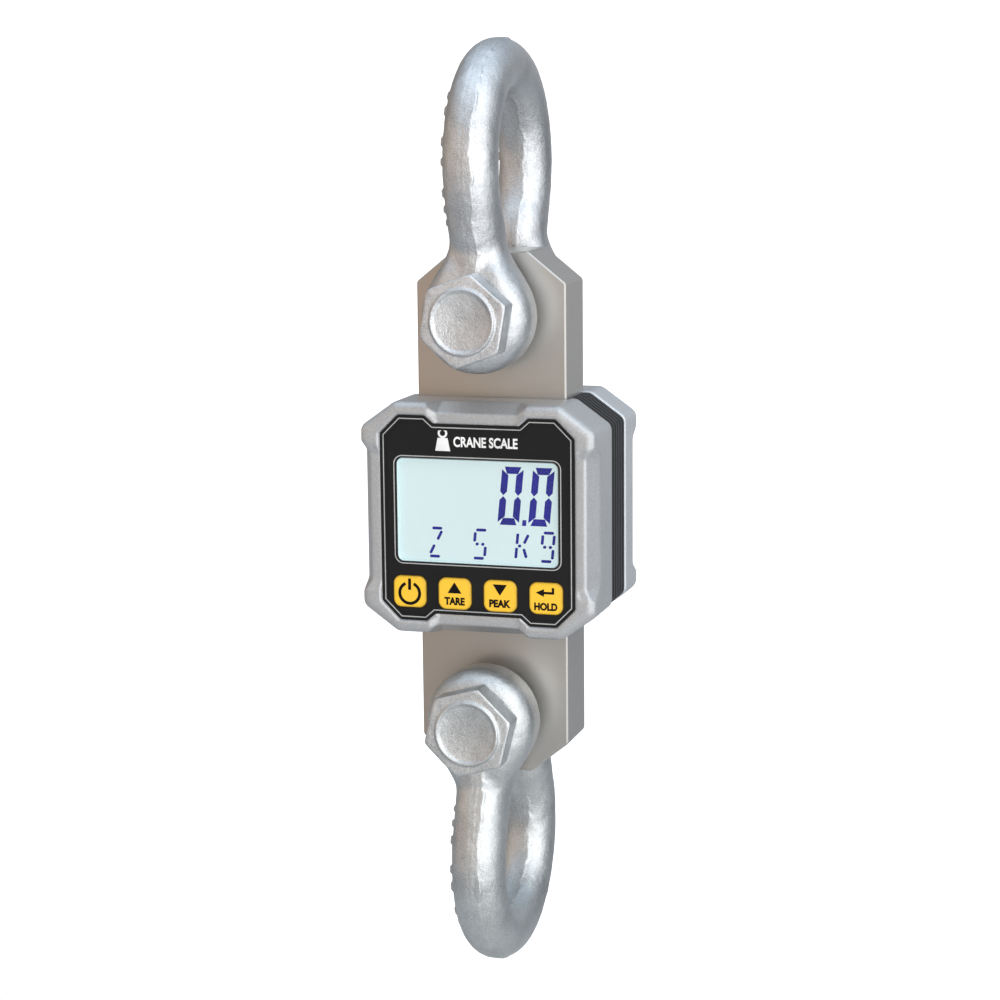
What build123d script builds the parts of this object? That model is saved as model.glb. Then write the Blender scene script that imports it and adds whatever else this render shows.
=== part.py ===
# Crane scale of the load-link type, in millimetres.
# Frame: origin at the hook seat (inside crown of the upper bow), +Z up, front of the display
# towards -Y, +X to the right of a person who reads the display.
from build123d import *
import os
from math import cos, radians, sin

# ---------------------------------------------------------------- driving dimensions
# Shackles (bow, pin, nut and cotter; the lower set mirrors the upper one)
BAR = 25.0  # bow bar diameter
BOW_INSIDE = 100.0  # pin axis to inside crown
BOW_HALF = 43.5  # bow centre line to the middle plane, at its widest
BOW_LEG_RADIUS = 53.0  # arc that brings each leg inwards
BOW_NECK_RADIUS = 22.0  # reverse arc into the ear
BOW_LEG_ANGLE = 33.0  # turn of both arcs, degrees
BOW_END = 11.6  # the bar ends inside the ear, this far above the pin axis
JAW = 44.0  # gap between the ears
EAR_THICK = 25.0
EAR_RADIUS = 25.8
EAR_ROUND = 11.0
EAR_INNER_ROUND = 7.0
JAW_FACE_MARGIN = 0.5  # machined jaw faces reach this far past the ears
PIN_RADIUS = 13.0
PIN_CLEARANCE = 0.1  # radial, in the ears and in the load link
HEAD_FLATS = 37.6
HEAD_THICK = 12.0
HEAD_CONE = 24.0  # taper that takes off the hexagon corners, degrees
HEAD_CONE_MARGIN = 0.9
HEAD_RING_RADIUS = 15.2
HEAD_RING_RISE = 1.6
DISH_RADIUS = 13.6
DISH_DEPTH = 1.4
DISH_TAPER = 30.0
THREAD_RADIUS = 12.0
THREAD_TIP = 1.6  # chamfer on the end of the bolt
NUT_FLATS = 36.0
NUT_THICK = 19.0
NUT_TURN = 4.0
NUT_CONE = 26.0
NUT_CONE_MARGIN = 0.6
THREAD_END = 10.0  # bolt end beyond the nut
COTTER_RADIUS = 2.0
COTTER_HOLE_PLAY = 0.2
COTTER_OFFSET = 4.4  # cotter axis beyond the nut
COTTER_OVERHANG = 2.0  # straight shank beyond the thread, at both ends
COTTER_EYE_RADIUS = 3.6
COTTER_EYE_RISE = 4.4  # eye centre above the shank
COTTER_LEG_LENGTH = 13.0
COTTER_LEG_LEAN = 38.0  # degrees
END_GAP = 0.3  # play between head, ear and nut

# Load link
PIN_PITCH = 188.0
LINK_LENGTH = 245.0
LINK_WIDTH = 71.5
LINK_THICK = 31.0
LINK_CORNER_X = 17.9
LINK_CORNER_Z = 14.4
LINK_EDGE = 0.7
POCKET_RADIUS = 12.0
POCKET_DEPTH = 11.0
POCKET_COVER_THICK = 1.5
POCKET_COVER_LEDGE = 2.0
CABLE_EXIT_RADIUS = 1.6
GAUGE_SIZE = (6.0, 9.0, 0.4)
GAUGE_PITCH = 10.0

# Indicator housing
HOUSING_RAISE = 1.2  # housing centre above the link centre
HALF_WIDTH = 56.2
HALF_HEIGHT = 54.0
CORNER_X = 16.8
CORNER_Z = 12.0
CORNER_ROUND = 5.0
WALL = 3.0
FACE_Y = -40.0  # label face and scooped rim strips
PAD_RISE = 1.5  # corner pads stand proud of the label face
FRONT_SEAM_Y = -10.3
REAR_SEAM_Y = 15.8
REAR_FACE_Y = 38.5
RIM_ROUND = 4.0
SCOOP_STRIP = 4.9  # rim bevel, measured across the face
SCOOP_DEPTH = 8.9  # rim bevel, measured along the depth
SIDE_SCOOP_HALF = 30.2
TOP_SCOOP_HALF = 19.0
SCOOP_RUNOUT = 5.2
SCOOP_LIFT = (3.3, 1.8)  # how far the bevel has moved off the rim at the end of its runout
SCOOP_OVERRUN = 0.9  # cutter beyond the rim, as a share of the bevel
SCOOP_CLEAR = 6.0  # cutter in front of the face
FRONT_WALL = 2.5
SLOT_PLAY = 0.3  # all round the load link, in the shells and the bands

# Rubber side bands
BAND_INSET = 0.7
BAND_THICK = 4.0
BAND_RIBS = 6
BAND_GROOVE_WIDTH = 1.5
BAND_GROOVE_DEPTH = 1.5

# Label, display and keys (x and z measured from the housing centre)
LABEL_HALF_WIDTH = 46.4
LABEL_HALF_HEIGHT = 48.0
LABEL_CORNER = 8.8
LABEL_NOTCH_INNER = 20.4
LABEL_NOTCH_OUTER = 24.6
LABEL_NOTCH_DEPTH = 3.7
LABEL_THICK = 0.5
LABEL_PLAY = 0.15
WINDOW_WIDTH = 77.4
WINDOW_HEIGHT = 48.6
WINDOW_RAISE = 3.9
WINDOW_ROUND = 3.2
WINDOW_THICK = 2.6
PANEL_WIDTH = 83.0
PANEL_HEIGHT = 54.0
PANEL_THICK = 2.2
BACKLIGHT_THICK = 3.2
FRAME_RIM = 1.6
KEY_WIDTH = 15.9
KEY_HEIGHT = 14.9
KEY_ROUND = 4.0
KEY_PITCH = 21.8
KEY_DROP = -34.4
KEY_PROUD = 1.0
KEY_GAP = 0.2
KEY_TRAVEL = 0.8
KEY_FLANGE = 1.2
KEY_FLANGE_MARGIN = 3.4  # flange width beyond the key
KEY_STEM_RADIUS = 2.4
KEY_STEM_PLAY = 0.1  # left between stem and switch when the key is pressed
KEY_TOP_ROUND = 0.8
KEY_NAMES = ("key_power", "key_tare", "key_peak", "key_hold")

# Boards, fixings and battery
BOARD_WIDTH = 100.0
BOARD_HEIGHT = 88.0
BOARD_CORNER = 12.0
BOARD_THICK = 1.6
BOARD_FRONT_Y = -31.0
BOARD_POST_X = 47.5
BOARD_POST_Z = 36.0
BOARD_POST_RADIUS = 3.2
BOARD_SCREW_RADIUS = 1.5
BOARD_SCREW_LENGTH = 5.0
BOARD_SCREW_HEAD = (2.6, 1.8)  # radius, thickness
SWITCH_SIZE = 6.0
SWITCH_HEIGHT = 1.9
SWITCH_PLUNGER = (1.7, 0.8)  # radius, height
BUZZER_PLACE = (-26.0, -20.0)
BUZZER_RADIUS = 6.0
BUZZER_HEIGHT = 6.0
BUZZER_HOLE_RADIUS = 1.0
CONNECTOR_HEIGHT = 5.5
SCREW_X = 45.0
SCREW_Z = 39.5
SCREW_RADIUS = 2.0
BOSS_RADIUS = 4.6
FRONT_BOSS_LENGTH = 14.0
BOSS_SETBACK = 1.0  # bosses end this far short of the seams
SCREW_PLAY = 0.2
INSERT_RADIUS = 3.0
INSERT_LENGTH = 9.0
SCREW_HEAD_RADIUS = 3.6
SCREW_HEAD_THICK = 3.6
SCREW_HEAD_SINK = 0.8  # heads lie this far below the rear face
SCREW_SOCKET = 3.0
CELL_RADIUS = 7.2
CELL_LENGTH = 50.0
CELL_PITCH = 15.0
CELL_COUNT = 4
TRAY_WALL = 1.6
COVER_WIDTH = 77.0
COVER_HEIGHT = 64.0
COVER_THICK = 2.4
COVER_ROUND = 6.0
COVER_SCREW_X = 34.4
COVER_SCREW_RADIUS = 1.5
COVER_SCREW_LENGTH = 8.0
COVER_SCREW_HEAD = (2.3, 1.8)  # radius, thickness
COVER_SCREW_SOCKET = 1.5
COVER_SCREW_SINK = 2.5  # radius of the counterbore
COVER_BOSS_RADIUS = 2.8
COVER_BOSS_LENGTH = 6.0
COVER_EDGE = 0.7
COVER_PLAY = 0.2
GASKET_THICK = 0.8
BATTERY_OPENING = (60.4, 56.4)
CONTACT_SIZE = 10.0
CONTACT_THICK = 0.4
CELL_BUTTON_RADIUS = 2.7
CELL_BUTTON_HEIGHT = 1.4
LEAD_RADIUS = 1.5
GAUGE_CABLE_RADIUS = 1.2
SEAL_THICK = 2.5
SEAL_HEIGHT = 7.6
SEAL_DROP = 6.2  # seal centre below the inside of the housing wall

# ---------------------------------------------------------------- derived places
Z_UPPER_PIN = -BOW_INSIDE
Z_LINK = Z_UPPER_PIN - PIN_PITCH / 2
Z_LOWER_PIN = Z_UPPER_PIN - PIN_PITCH
Z_HOUSING = Z_LINK + HOUSING_RAISE
EAR_OUTER = JAW / 2 + EAR_THICK
PAD_Y = FACE_Y - PAD_RISE
REAR_PAD_Y = REAR_FACE_Y + PAD_RISE
LABEL_FLOOR_Y = FACE_Y + LABEL_THICK
CAVITY_FRONT_Y = LABEL_FLOOR_Y + FRONT_WALL
CAVITY_REAR_Y = REAR_FACE_Y - WALL
BOARD_REAR_Y = BOARD_FRONT_Y + BOARD_THICK
KEY_XS = [(i - 1.5) * KEY_PITCH for i in range(4)]

os.makedirs("parts", exist_ok=True)


def save(part, name):
    """Label a finished piece and write it as its own STEP file."""
    part.label = name
    export_step(part, f"parts/{name}.step")


def facing_front(y):
    """Plane at depth y whose local x, y are +X, +Z and whose normal looks out of the front."""
    return Plane(origin=(0, y, Z_HOUSING), x_dir=(1, 0, 0), z_dir=(0, -1, 0))


def across_pin(y, z):
    """Plane at depth y centred on a pin axis, with its normal towards the back (+Y)."""
    return Plane(origin=(0, y, z), x_dir=(1, 0, 0), z_dir=(0, 1, 0))


# ---------------------------------------------------------------- shackles
def bow_centre_line(side):
    """Half of the bow's centre line as (y, z) above the pin, from the crown to the ear."""
    turn = radians(BOW_LEG_ANGLE)
    centre_z = BOW_INSIDE + BAR / 2 - BOW_HALF
    leg_y = BOW_HALF - BOW_LEG_RADIUS * (1 - cos(turn))
    leg_z = centre_z - BOW_LEG_RADIUS * sin(turn)
    neck_y = leg_y - BOW_NECK_RADIUS * (1 - cos(turn))
    neck_z = leg_z - BOW_NECK_RADIUS * sin(turn)
    return centre_z, (side * leg_y, leg_z), (side * neck_y, neck_z)


def make_bow(pin_z, up):
    """Bow shackle body about the pin at height pin_z; up is +1 or -1 for the crown's side."""
    bow_plane = Plane(origin=(0, 0, pin_z), x_dir=(0, 1, 0), z_dir=(up, 0, 0))
    centre_z, right_leg, right_neck = bow_centre_line(1)
    _, left_leg, left_neck = bow_centre_line(-1)
    with BuildPart() as bow:
        with BuildLine(bow_plane) as path:
            start = Line((left_neck[0], BOW_END), left_neck)
            neck = TangentArc(left_neck, left_leg, tangent=start % 1)
            leg = TangentArc(left_leg, (-BOW_HALF, centre_z), tangent=neck % 1)
            crown = TangentArc((-BOW_HALF, centre_z), (BOW_HALF, centre_z), tangent=leg % 1)
            leg_back = TangentArc((BOW_HALF, centre_z), right_leg, tangent=crown % 1)
            neck_back = TangentArc(right_leg, right_neck, tangent=leg_back % 1)
            Line(right_neck, (right_neck[0], BOW_END))
        with BuildSketch(Plane(origin=path.wire() @ 0, z_dir=path.wire() % 0)):
            Circle(BAR / 2)
        sweep(path=path.wire())
        # ears: rounded discs turned about the pin axis
        for side in (1, -1):
            with BuildSketch(Plane(origin=(0, 0, pin_z), x_dir=(0, side, 0), z_dir=(side, 0, 0))):
                with Locations((JAW / 2, 0)):
                    profile = Rectangle(EAR_THICK, EAR_RADIUS, align=(Align.MIN, Align.MIN))
                inner_corner, outer_corner = profile.vertices().group_by(Axis.Y)[-1].sort_by(Axis.X)
                fillet(inner_corner, radius=EAR_INNER_ROUND)
                fillet(outer_corner, radius=EAR_ROUND)
            revolve(axis=Axis((0, 0, pin_z), (0, 1, 0)))
        with BuildSketch(across_pin(-EAR_OUTER, pin_z)):
            Circle(PIN_RADIUS + PIN_CLEARANCE)
        extrude(amount=2 * EAR_OUTER, mode=Mode.SUBTRACT)
        # the jaw is machined flat between the ears
        with BuildSketch(across_pin(-JAW / 2, pin_z)):
            Circle(EAR_RADIUS + JAW_FACE_MARGIN)
        extrude(amount=JAW, mode=Mode.SUBTRACT)
    return bow.part


def make_pin(pin_z, head_turn):
    """Hexagon-headed bolt; the head is at the front, turned by head_turn degrees."""
    under_head = -EAR_OUTER - END_GAP
    head_face = under_head - HEAD_THICK
    nut_end = EAR_OUTER + END_GAP + NUT_THICK
    with BuildPart() as pin:
        with BuildSketch(across_pin(head_face, pin_z)):
            RegularPolygon(HEAD_FLATS / 2, 6, major_radius=False, rotation=-head_turn)
        extrude(amount=HEAD_THICK)
        # hexagon corners taken off by a shallow cone from the front
        with BuildSketch(across_pin(head_face, pin_z)):
            Circle(HEAD_FLATS / 2 + HEAD_CONE_MARGIN)
        extrude(amount=HEAD_THICK, taper=-HEAD_CONE, mode=Mode.INTERSECT)
        # raised ring round a shallow dish
        with BuildSketch(across_pin(head_face - HEAD_RING_RISE, pin_z)):
            Circle(HEAD_RING_RADIUS)
        extrude(amount=HEAD_RING_RISE + 1)
        fillet(pin.faces().sort_by(Axis.Y)[0].edges(), radius=HEAD_RING_RISE * 0.6)
        with BuildSketch(across_pin(head_face - HEAD_RING_RISE, pin_z)):
            Circle(DISH_RADIUS)
        extrude(amount=DISH_DEPTH, taper=DISH_TAPER, mode=Mode.SUBTRACT)
        with BuildSketch(across_pin(under_head, pin_z)):
            Circle(PIN_RADIUS)
        extrude(amount=EAR_OUTER - under_head)
        with BuildSketch(across_pin(EAR_OUTER, pin_z)):
            Circle(THREAD_RADIUS)
        extrude(amount=nut_end + THREAD_END - EAR_OUTER)
        chamfer(pin.faces().sort_by(Axis.Y)[-1].edges(), length=THREAD_TIP)
        with Locations(Location((0, nut_end + COTTER_OFFSET, pin_z))):
            Cylinder(COTTER_RADIUS + COTTER_HOLE_PLAY, 3 * THREAD_RADIUS, mode=Mode.SUBTRACT)
    return pin.part


def make_nut(pin_z):
    """Hexagon nut against the rear ear."""
    start = EAR_OUTER + END_GAP
    with BuildPart() as nut:
        with BuildSketch(across_pin(start, pin_z)):
            RegularPolygon(NUT_FLATS / 2, 6, major_radius=False, rotation=NUT_TURN)
        extrude(amount=NUT_THICK)
        with BuildSketch(across_pin(start + NUT_THICK, pin_z)):
            Circle(NUT_FLATS / 2 + NUT_CONE_MARGIN)
        extrude(amount=-NUT_THICK, taper=-NUT_CONE, mode=Mode.INTERSECT)
        with BuildSketch(across_pin(start, pin_z)):
            Circle(THREAD_RADIUS)
        extrude(amount=NUT_THICK, mode=Mode.SUBTRACT)
    return nut.part


def make_cotter(pin_z):
    """Split pin through the bolt end: eye above, two legs opened below."""
    y = EAR_OUTER + END_GAP + NUT_THICK + COTTER_OFFSET
    shank_end = THREAD_RADIUS + COTTER_OVERHANG
    lean = radians(COTTER_LEG_LEAN)
    with BuildPart() as cotter:
        with BuildSketch(Plane.XY.offset(pin_z - shank_end)):
            with Locations((0, y)):
                Circle(COTTER_RADIUS)
        extrude(amount=2 * shank_end)
        with Locations(across_pin(y, pin_z + shank_end + COTTER_EYE_RISE)):
            Torus(major_radius=COTTER_EYE_RADIUS, minor_radius=COTTER_RADIUS * 0.8)
        for side in (1, -1):
            foot = (side * COTTER_RADIUS * 0.25, y, pin_z - shank_end + 0.6)
            with BuildSketch(Plane(origin=foot, z_dir=(side * sin(lean), 0, -cos(lean)))):
                Circle(COTTER_RADIUS * 0.7)
            extrude(amount=COTTER_LEG_LENGTH)
    return cotter.part


for level, pin_z, up, head_turn in (("upper", Z_UPPER_PIN, 1, 20), ("lower", Z_LOWER_PIN, -1, 16)):
    save(make_bow(pin_z, up), f"{level}_bow")
    save(make_pin(pin_z, head_turn), f"{level}_pin")
    save(make_nut(pin_z), f"{level}_nut")
    save(make_cotter(pin_z), f"{level}_cotter")

# ---------------------------------------------------------------- load link
with BuildPart() as load_link:
    with BuildSketch(Plane.XZ.offset(-LINK_THICK / 2)):
        with Locations((0, Z_LINK)):
            half_w, half_l = LINK_WIDTH / 2, LINK_LENGTH / 2
            corners = [
                (half_w - LINK_CORNER_X, half_l),
                (half_w, half_l - LINK_CORNER_Z),
                (half_w, LINK_CORNER_Z - half_l),
                (half_w - LINK_CORNER_X, -half_l),
            ]
            mirrored = [(-x, z) for x, z in reversed(corners)]
            Polygon(*corners, *mirrored, align=None)
    extrude(amount=LINK_THICK)
    chamfer(load_link.edges(), length=LINK_EDGE)
    for pin_z in (Z_UPPER_PIN, Z_LOWER_PIN):
        with BuildSketch(across_pin(-LINK_THICK / 2, pin_z)):
            Circle(PIN_RADIUS + PIN_CLEARANCE)
        extrude(amount=LINK_THICK, mode=Mode.SUBTRACT)
    for side in (1, -1):
        face = across_pin(side * LINK_THICK / 2, Z_LINK)
        with BuildSketch(face):
            Circle(POCKET_RADIUS)
        extrude(amount=-side * POCKET_DEPTH, mode=Mode.SUBTRACT)
        with BuildSketch(face):
            Circle(POCKET_RADIUS + POCKET_COVER_LEDGE)
        extrude(amount=-side * POCKET_COVER_THICK, mode=Mode.SUBTRACT)
save(load_link.part, "load_link")

for side, place in ((-1, "front"), (1, "rear")):
    outer = side * LINK_THICK / 2
    with BuildPart() as pocket_cover:
        with BuildSketch(across_pin(outer - side * POCKET_COVER_THICK, Z_LINK)):
            Circle(POCKET_RADIUS + POCKET_COVER_LEDGE)
        extrude(amount=side * POCKET_COVER_THICK)
        if place == "front":
            with BuildSketch(across_pin(outer, Z_LINK)):
                Circle(CABLE_EXIT_RADIUS)
            extrude(amount=2 * POCKET_COVER_THICK, both=True, mode=Mode.SUBTRACT)
    save(pocket_cover.part, f"{place}_pocket_cover")

gauge_width, gauge_height, gauge_thick = GAUGE_SIZE
with BuildPart() as strain_gauges:
    for side in (1, -1):
        web = side * (LINK_THICK / 2 - POCKET_DEPTH)
        with BuildSketch(across_pin(web, Z_LINK)):
            with GridLocations(GAUGE_PITCH, 0, 2, 1):
                Rectangle(gauge_width, gauge_height)
        extrude(amount=side * gauge_thick)
save(strain_gauges.part, "strain_gauges")


# ---------------------------------------------------------------- housing
def housing_section(inset=0.0):
    """Eight-sided housing outline with rounded corners, moved inwards by inset."""
    quarter = [(HALF_WIDTH - CORNER_X, HALF_HEIGHT), (HALF_WIDTH, HALF_HEIGHT - CORNER_Z)]
    right = quarter + [(x, -z) for x, z in reversed(quarter)]
    with BuildSketch(mode=Mode.PRIVATE) as section:
        Polygon(*right, *[(-x, z) for x, z in reversed(right)], align=None)
        fillet(section.vertices(), radius=CORNER_ROUND)
        if inset:
            offset(amount=-inset, kind=Kind.ARC, mode=Mode.REPLACE)
    return section.sketch


def scoop_section(face_y, back, away):
    """(across, depth) points of what a rim scoop removes; back is the direction into the body.
    With away = 1 the section stands clear of the rim, where the scoop runs out."""
    edge = HALF_WIDTH - SCOOP_STRIP
    beyond = SCOOP_STRIP * SCOOP_OVERRUN
    points = [
        (edge - SCOOP_STRIP, face_y),
        (edge, face_y),
        (HALF_WIDTH + beyond, face_y + back * SCOOP_DEPTH * (1 + SCOOP_OVERRUN)),
        (HALF_WIDTH + beyond, face_y - back * SCOOP_CLEAR),
        (edge - SCOOP_STRIP, face_y - back * SCOOP_CLEAR),
    ]
    out_x, out_y = SCOOP_LIFT
    return [(x + away * out_x, y - away * back * out_y) for x, y in points]


def scoop(direction, face_y, back, half_length):
    """Solid that bevels one side of the rim between its corner pads."""
    drop = 0 if direction in ("+X", "-X") else HALF_WIDTH - HALF_HEIGHT
    sign = 1 if direction[0] == "+" else -1
    with BuildPart() as cutter:
        for along, away in ((-1, 1), (-1, 0), (1, 0), (1, 1)):
            s = along * (half_length + away * SCOOP_RUNOUT)
            if direction[1] == "X":
                plane = Plane(origin=(0, 0, Z_HOUSING + s), x_dir=(1, 0, 0), z_dir=(0, 0, 1))
            else:
                plane = Plane(origin=(s, 0, Z_HOUSING), x_dir=(0, 1, 0), z_dir=(1, 0, 0))
            points = scoop_section(face_y, back, away)
            if direction[1] == "X":
                outline = [(sign * x, y) for x, y in points]
            else:
                outline = [(y, sign * (x - drop)) for x, y in points]
            with BuildSketch(plane):
                Polygon(*outline, align=None)
        loft(ruled=True)
    return cutter.part


def label_points(grow=0.0):
    """Outline of the front label, with a notch at the top and the bottom for the rim scoops."""
    w, h = LABEL_HALF_WIDTH + grow, LABEL_HALF_HEIGHT + grow
    quarter = [
        (LABEL_NOTCH_INNER - grow, h - LABEL_NOTCH_DEPTH),
        (LABEL_NOTCH_OUTER - grow, h),
        (w - LABEL_CORNER, h),
        (w, h - LABEL_CORNER),
    ]
    right = quarter + [(x, -z) for x, z in reversed(quarter)]
    return right + [(-x, z) for x, z in reversed(right)]


SCOOPS = (
    ("+X", SIDE_SCOOP_HALF),
    ("-X", SIDE_SCOOP_HALF),
    ("+Z", TOP_SCOOP_HALF),
    ("-Z", TOP_SCOOP_HALF),
)
CORNER_SIGNS = [(x, z) for x in (1, -1) for z in (1, -1)]
COVER_SCREWS = [(COVER_SCREW_X, 0), (-COVER_SCREW_X, 0)]
COVER_SINK = COVER_THICK / 2

with BuildPart() as front_shell:
    with BuildSketch(facing_front(FRONT_SEAM_Y)):
        add(housing_section())
    extrude(amount=FRONT_SEAM_Y - PAD_Y)
    fillet(front_shell.faces().sort_by(Axis.Y)[0].edges(), radius=RIM_ROUND)
    for direction, half_length in SCOOPS:
        add(scoop(direction, FACE_Y, 1, half_length), mode=Mode.SUBTRACT)
    # recess that the label lies in
    with BuildSketch(facing_front(LABEL_FLOOR_Y)):
        Polygon(*label_points(LABEL_PLAY), align=None)
    extrude(amount=10, mode=Mode.SUBTRACT)
    # hollow for the display and the board
    with BuildSketch(facing_front(FRONT_SEAM_Y)):
        add(housing_section(WALL + 2.0))
    extrude(amount=FRONT_SEAM_Y - CAVITY_FRONT_Y, mode=Mode.SUBTRACT)
    # openings for the window and the keys
    with BuildSketch(facing_front(CAVITY_FRONT_Y)):
        with Locations((0, WINDOW_RAISE)):
            RectangleRounded(WINDOW_WIDTH, WINDOW_HEIGHT, WINDOW_ROUND)
        with Locations(*[(x, KEY_DROP) for x in KEY_XS]):
            RectangleRounded(KEY_WIDTH + 2 * KEY_GAP, KEY_HEIGHT + 2 * KEY_GAP, KEY_ROUND)
    extrude(amount=FRONT_WALL, mode=Mode.SUBTRACT)
    # screw bosses and board posts
    with BuildSketch(facing_front(FRONT_SEAM_Y - BOSS_SETBACK)):
        with Locations(*[(x * SCREW_X, z * SCREW_Z) for x, z in CORNER_SIGNS]):
            Circle(BOSS_RADIUS)
    extrude(amount=FRONT_BOSS_LENGTH)
    with BuildSketch(facing_front(FRONT_SEAM_Y - BOSS_SETBACK)):
        with Locations(*[(x * SCREW_X, z * SCREW_Z) for x, z in CORNER_SIGNS]):
            Circle(INSERT_RADIUS)
    extrude(amount=INSERT_LENGTH + 1, mode=Mode.SUBTRACT)
    with BuildSketch(facing_front(BOARD_FRONT_Y)):
        with Locations(*[(x * BOARD_POST_X, z * BOARD_POST_Z) for x, z in CORNER_SIGNS]):
            Circle(BOARD_POST_RADIUS)
            Circle(BOARD_SCREW_RADIUS, mode=Mode.SUBTRACT)
    extrude(amount=BOARD_FRONT_Y - CAVITY_FRONT_Y)
    # slots in the top and bottom walls for the load link
    with BuildSketch(facing_front(FRONT_SEAM_Y)):
        Rectangle(LINK_WIDTH + 2 * SLOT_PLAY, 3 * HALF_HEIGHT)
    extrude(amount=FRONT_SEAM_Y + LINK_THICK / 2 + SLOT_PLAY, mode=Mode.SUBTRACT)
save(front_shell.part, "front_shell")

with BuildPart() as rear_shell:
    with BuildSketch(facing_front(REAR_PAD_Y)):
        add(housing_section())
    extrude(amount=REAR_PAD_Y - REAR_SEAM_Y)
    fillet(rear_shell.faces().sort_by(Axis.Y)[-1].edges(), radius=RIM_ROUND)
    for direction, half_length in SCOOPS:
        add(scoop(direction, REAR_FACE_Y, -1, half_length), mode=Mode.SUBTRACT)
    # flat back between the corner pads
    with BuildSketch(facing_front(REAR_PAD_Y)):
        Polygon(*label_points(LABEL_PLAY), align=None)
    extrude(amount=PAD_RISE, mode=Mode.SUBTRACT)
    with BuildSketch(facing_front(CAVITY_REAR_Y)):
        add(housing_section(WALL + 2.0))
    extrude(amount=CAVITY_REAR_Y - REAR_SEAM_Y, mode=Mode.SUBTRACT)
    # full-depth bosses for the housing screws, with a counterbore behind
    with BuildSketch(facing_front(REAR_FACE_Y)):
        with Locations(*[(x * SCREW_X, z * SCREW_Z) for x, z in CORNER_SIGNS]):
            Circle(BOSS_RADIUS)
    extrude(amount=REAR_FACE_Y - REAR_SEAM_Y - BOSS_SETBACK)
    with BuildSketch(facing_front(REAR_PAD_Y)):
        with Locations(*[(x * SCREW_X, z * SCREW_Z) for x, z in CORNER_SIGNS]):
            Circle(SCREW_RADIUS + SCREW_PLAY)
    extrude(amount=REAR_PAD_Y, mode=Mode.SUBTRACT)
    with BuildSketch(facing_front(REAR_PAD_Y)):
        with Locations(*[(x * SCREW_X, z * SCREW_Z) for x, z in CORNER_SIGNS]):
            Circle(SCREW_HEAD_RADIUS + SCREW_PLAY)
    extrude(amount=PAD_RISE + SCREW_HEAD_THICK + SCREW_HEAD_SINK, mode=Mode.SUBTRACT)
    # battery opening with a ledge for the cover
    with BuildSketch(facing_front(REAR_FACE_Y)):
        RectangleRounded(
            COVER_WIDTH + 2 * COVER_PLAY, COVER_HEIGHT + 2 * COVER_PLAY, COVER_ROUND + COVER_PLAY
        )
    extrude(amount=COVER_SINK + GASKET_THICK, mode=Mode.SUBTRACT)
    with BuildSketch(facing_front(CAVITY_REAR_Y)):
        with Locations(*COVER_SCREWS):
            Circle(COVER_BOSS_RADIUS)
    extrude(amount=COVER_BOSS_LENGTH)
    with BuildSketch(facing_front(REAR_FACE_Y)):
        RectangleRounded(*BATTERY_OPENING, 3)
        with Locations(*COVER_SCREWS):
            Circle(COVER_SCREW_RADIUS)
    extrude(amount=WALL + 5, mode=Mode.SUBTRACT)
save(rear_shell.part, "rear_shell")

# ---------------------------------------------------------------- ribbed rubber side bands
BAND_DEPTH = REAR_SEAM_Y - FRONT_SEAM_Y
RIB_PITCH = BAND_DEPTH / BAND_RIBS

for side, place in ((-1, "left"), (1, "right")):
    with BuildPart() as band:
        with BuildSketch(facing_front(REAR_SEAM_Y)):
            add(housing_section(BAND_INSET + BAND_GROOVE_DEPTH))
        extrude(amount=BAND_DEPTH)
        for rib in range(BAND_RIBS):
            rib_rear = FRONT_SEAM_Y + (rib + 1) * RIB_PITCH - BAND_GROOVE_WIDTH / 2
            with BuildSketch(facing_front(rib_rear)):
                add(housing_section(BAND_INSET))
            extrude(amount=RIB_PITCH - BAND_GROOVE_WIDTH)
        with BuildSketch(facing_front(REAR_SEAM_Y)):
            add(housing_section(BAND_INSET + BAND_THICK))
        extrude(amount=BAND_DEPTH, mode=Mode.SUBTRACT)
        # the load link passes between the two bands
        with BuildSketch(facing_front(REAR_SEAM_Y)):
            Rectangle(LINK_WIDTH + 2 * SLOT_PLAY, 3 * HALF_HEIGHT)
            with Locations((-side * HALF_WIDTH, 0)):
                Rectangle(2 * HALF_WIDTH, 3 * HALF_HEIGHT)
        extrude(amount=BAND_DEPTH, mode=Mode.SUBTRACT)
    save(band.part, f"side_band_{place}")

# ---------------------------------------------------------------- label, display, keys
with BuildPart() as front_label:
    with BuildSketch(facing_front(LABEL_FLOOR_Y)):
        Polygon(*label_points(), align=None)
        with Locations((0, WINDOW_RAISE)):
            RectangleRounded(WINDOW_WIDTH, WINDOW_HEIGHT, WINDOW_ROUND, mode=Mode.SUBTRACT)
        with Locations(*[(x, KEY_DROP) for x in KEY_XS]):
            RectangleRounded(
                KEY_WIDTH + 2 * KEY_GAP, KEY_HEIGHT + 2 * KEY_GAP, KEY_ROUND, mode=Mode.SUBTRACT
            )
    extrude(amount=LABEL_THICK)
save(front_label.part, "front_label")

WINDOW_REAR_Y = FACE_Y + WINDOW_THICK
with BuildPart() as display_window:
    with BuildSketch(facing_front(WINDOW_REAR_Y)):
        with Locations((0, WINDOW_RAISE)):
            RectangleRounded(WINDOW_WIDTH, WINDOW_HEIGHT, WINDOW_ROUND)
    extrude(amount=WINDOW_THICK)
save(display_window.part, "display_window")


def panel_block(front_y, thick, width, height):
    """Flat rectangular block behind the window, from front_y towards the back."""
    with BuildPart() as block:
        with BuildSketch(facing_front(front_y + thick)):
            with Locations((0, WINDOW_RAISE)):
                RectangleRounded(width, height, 1.0)
        extrude(amount=thick)
    return block.part


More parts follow.
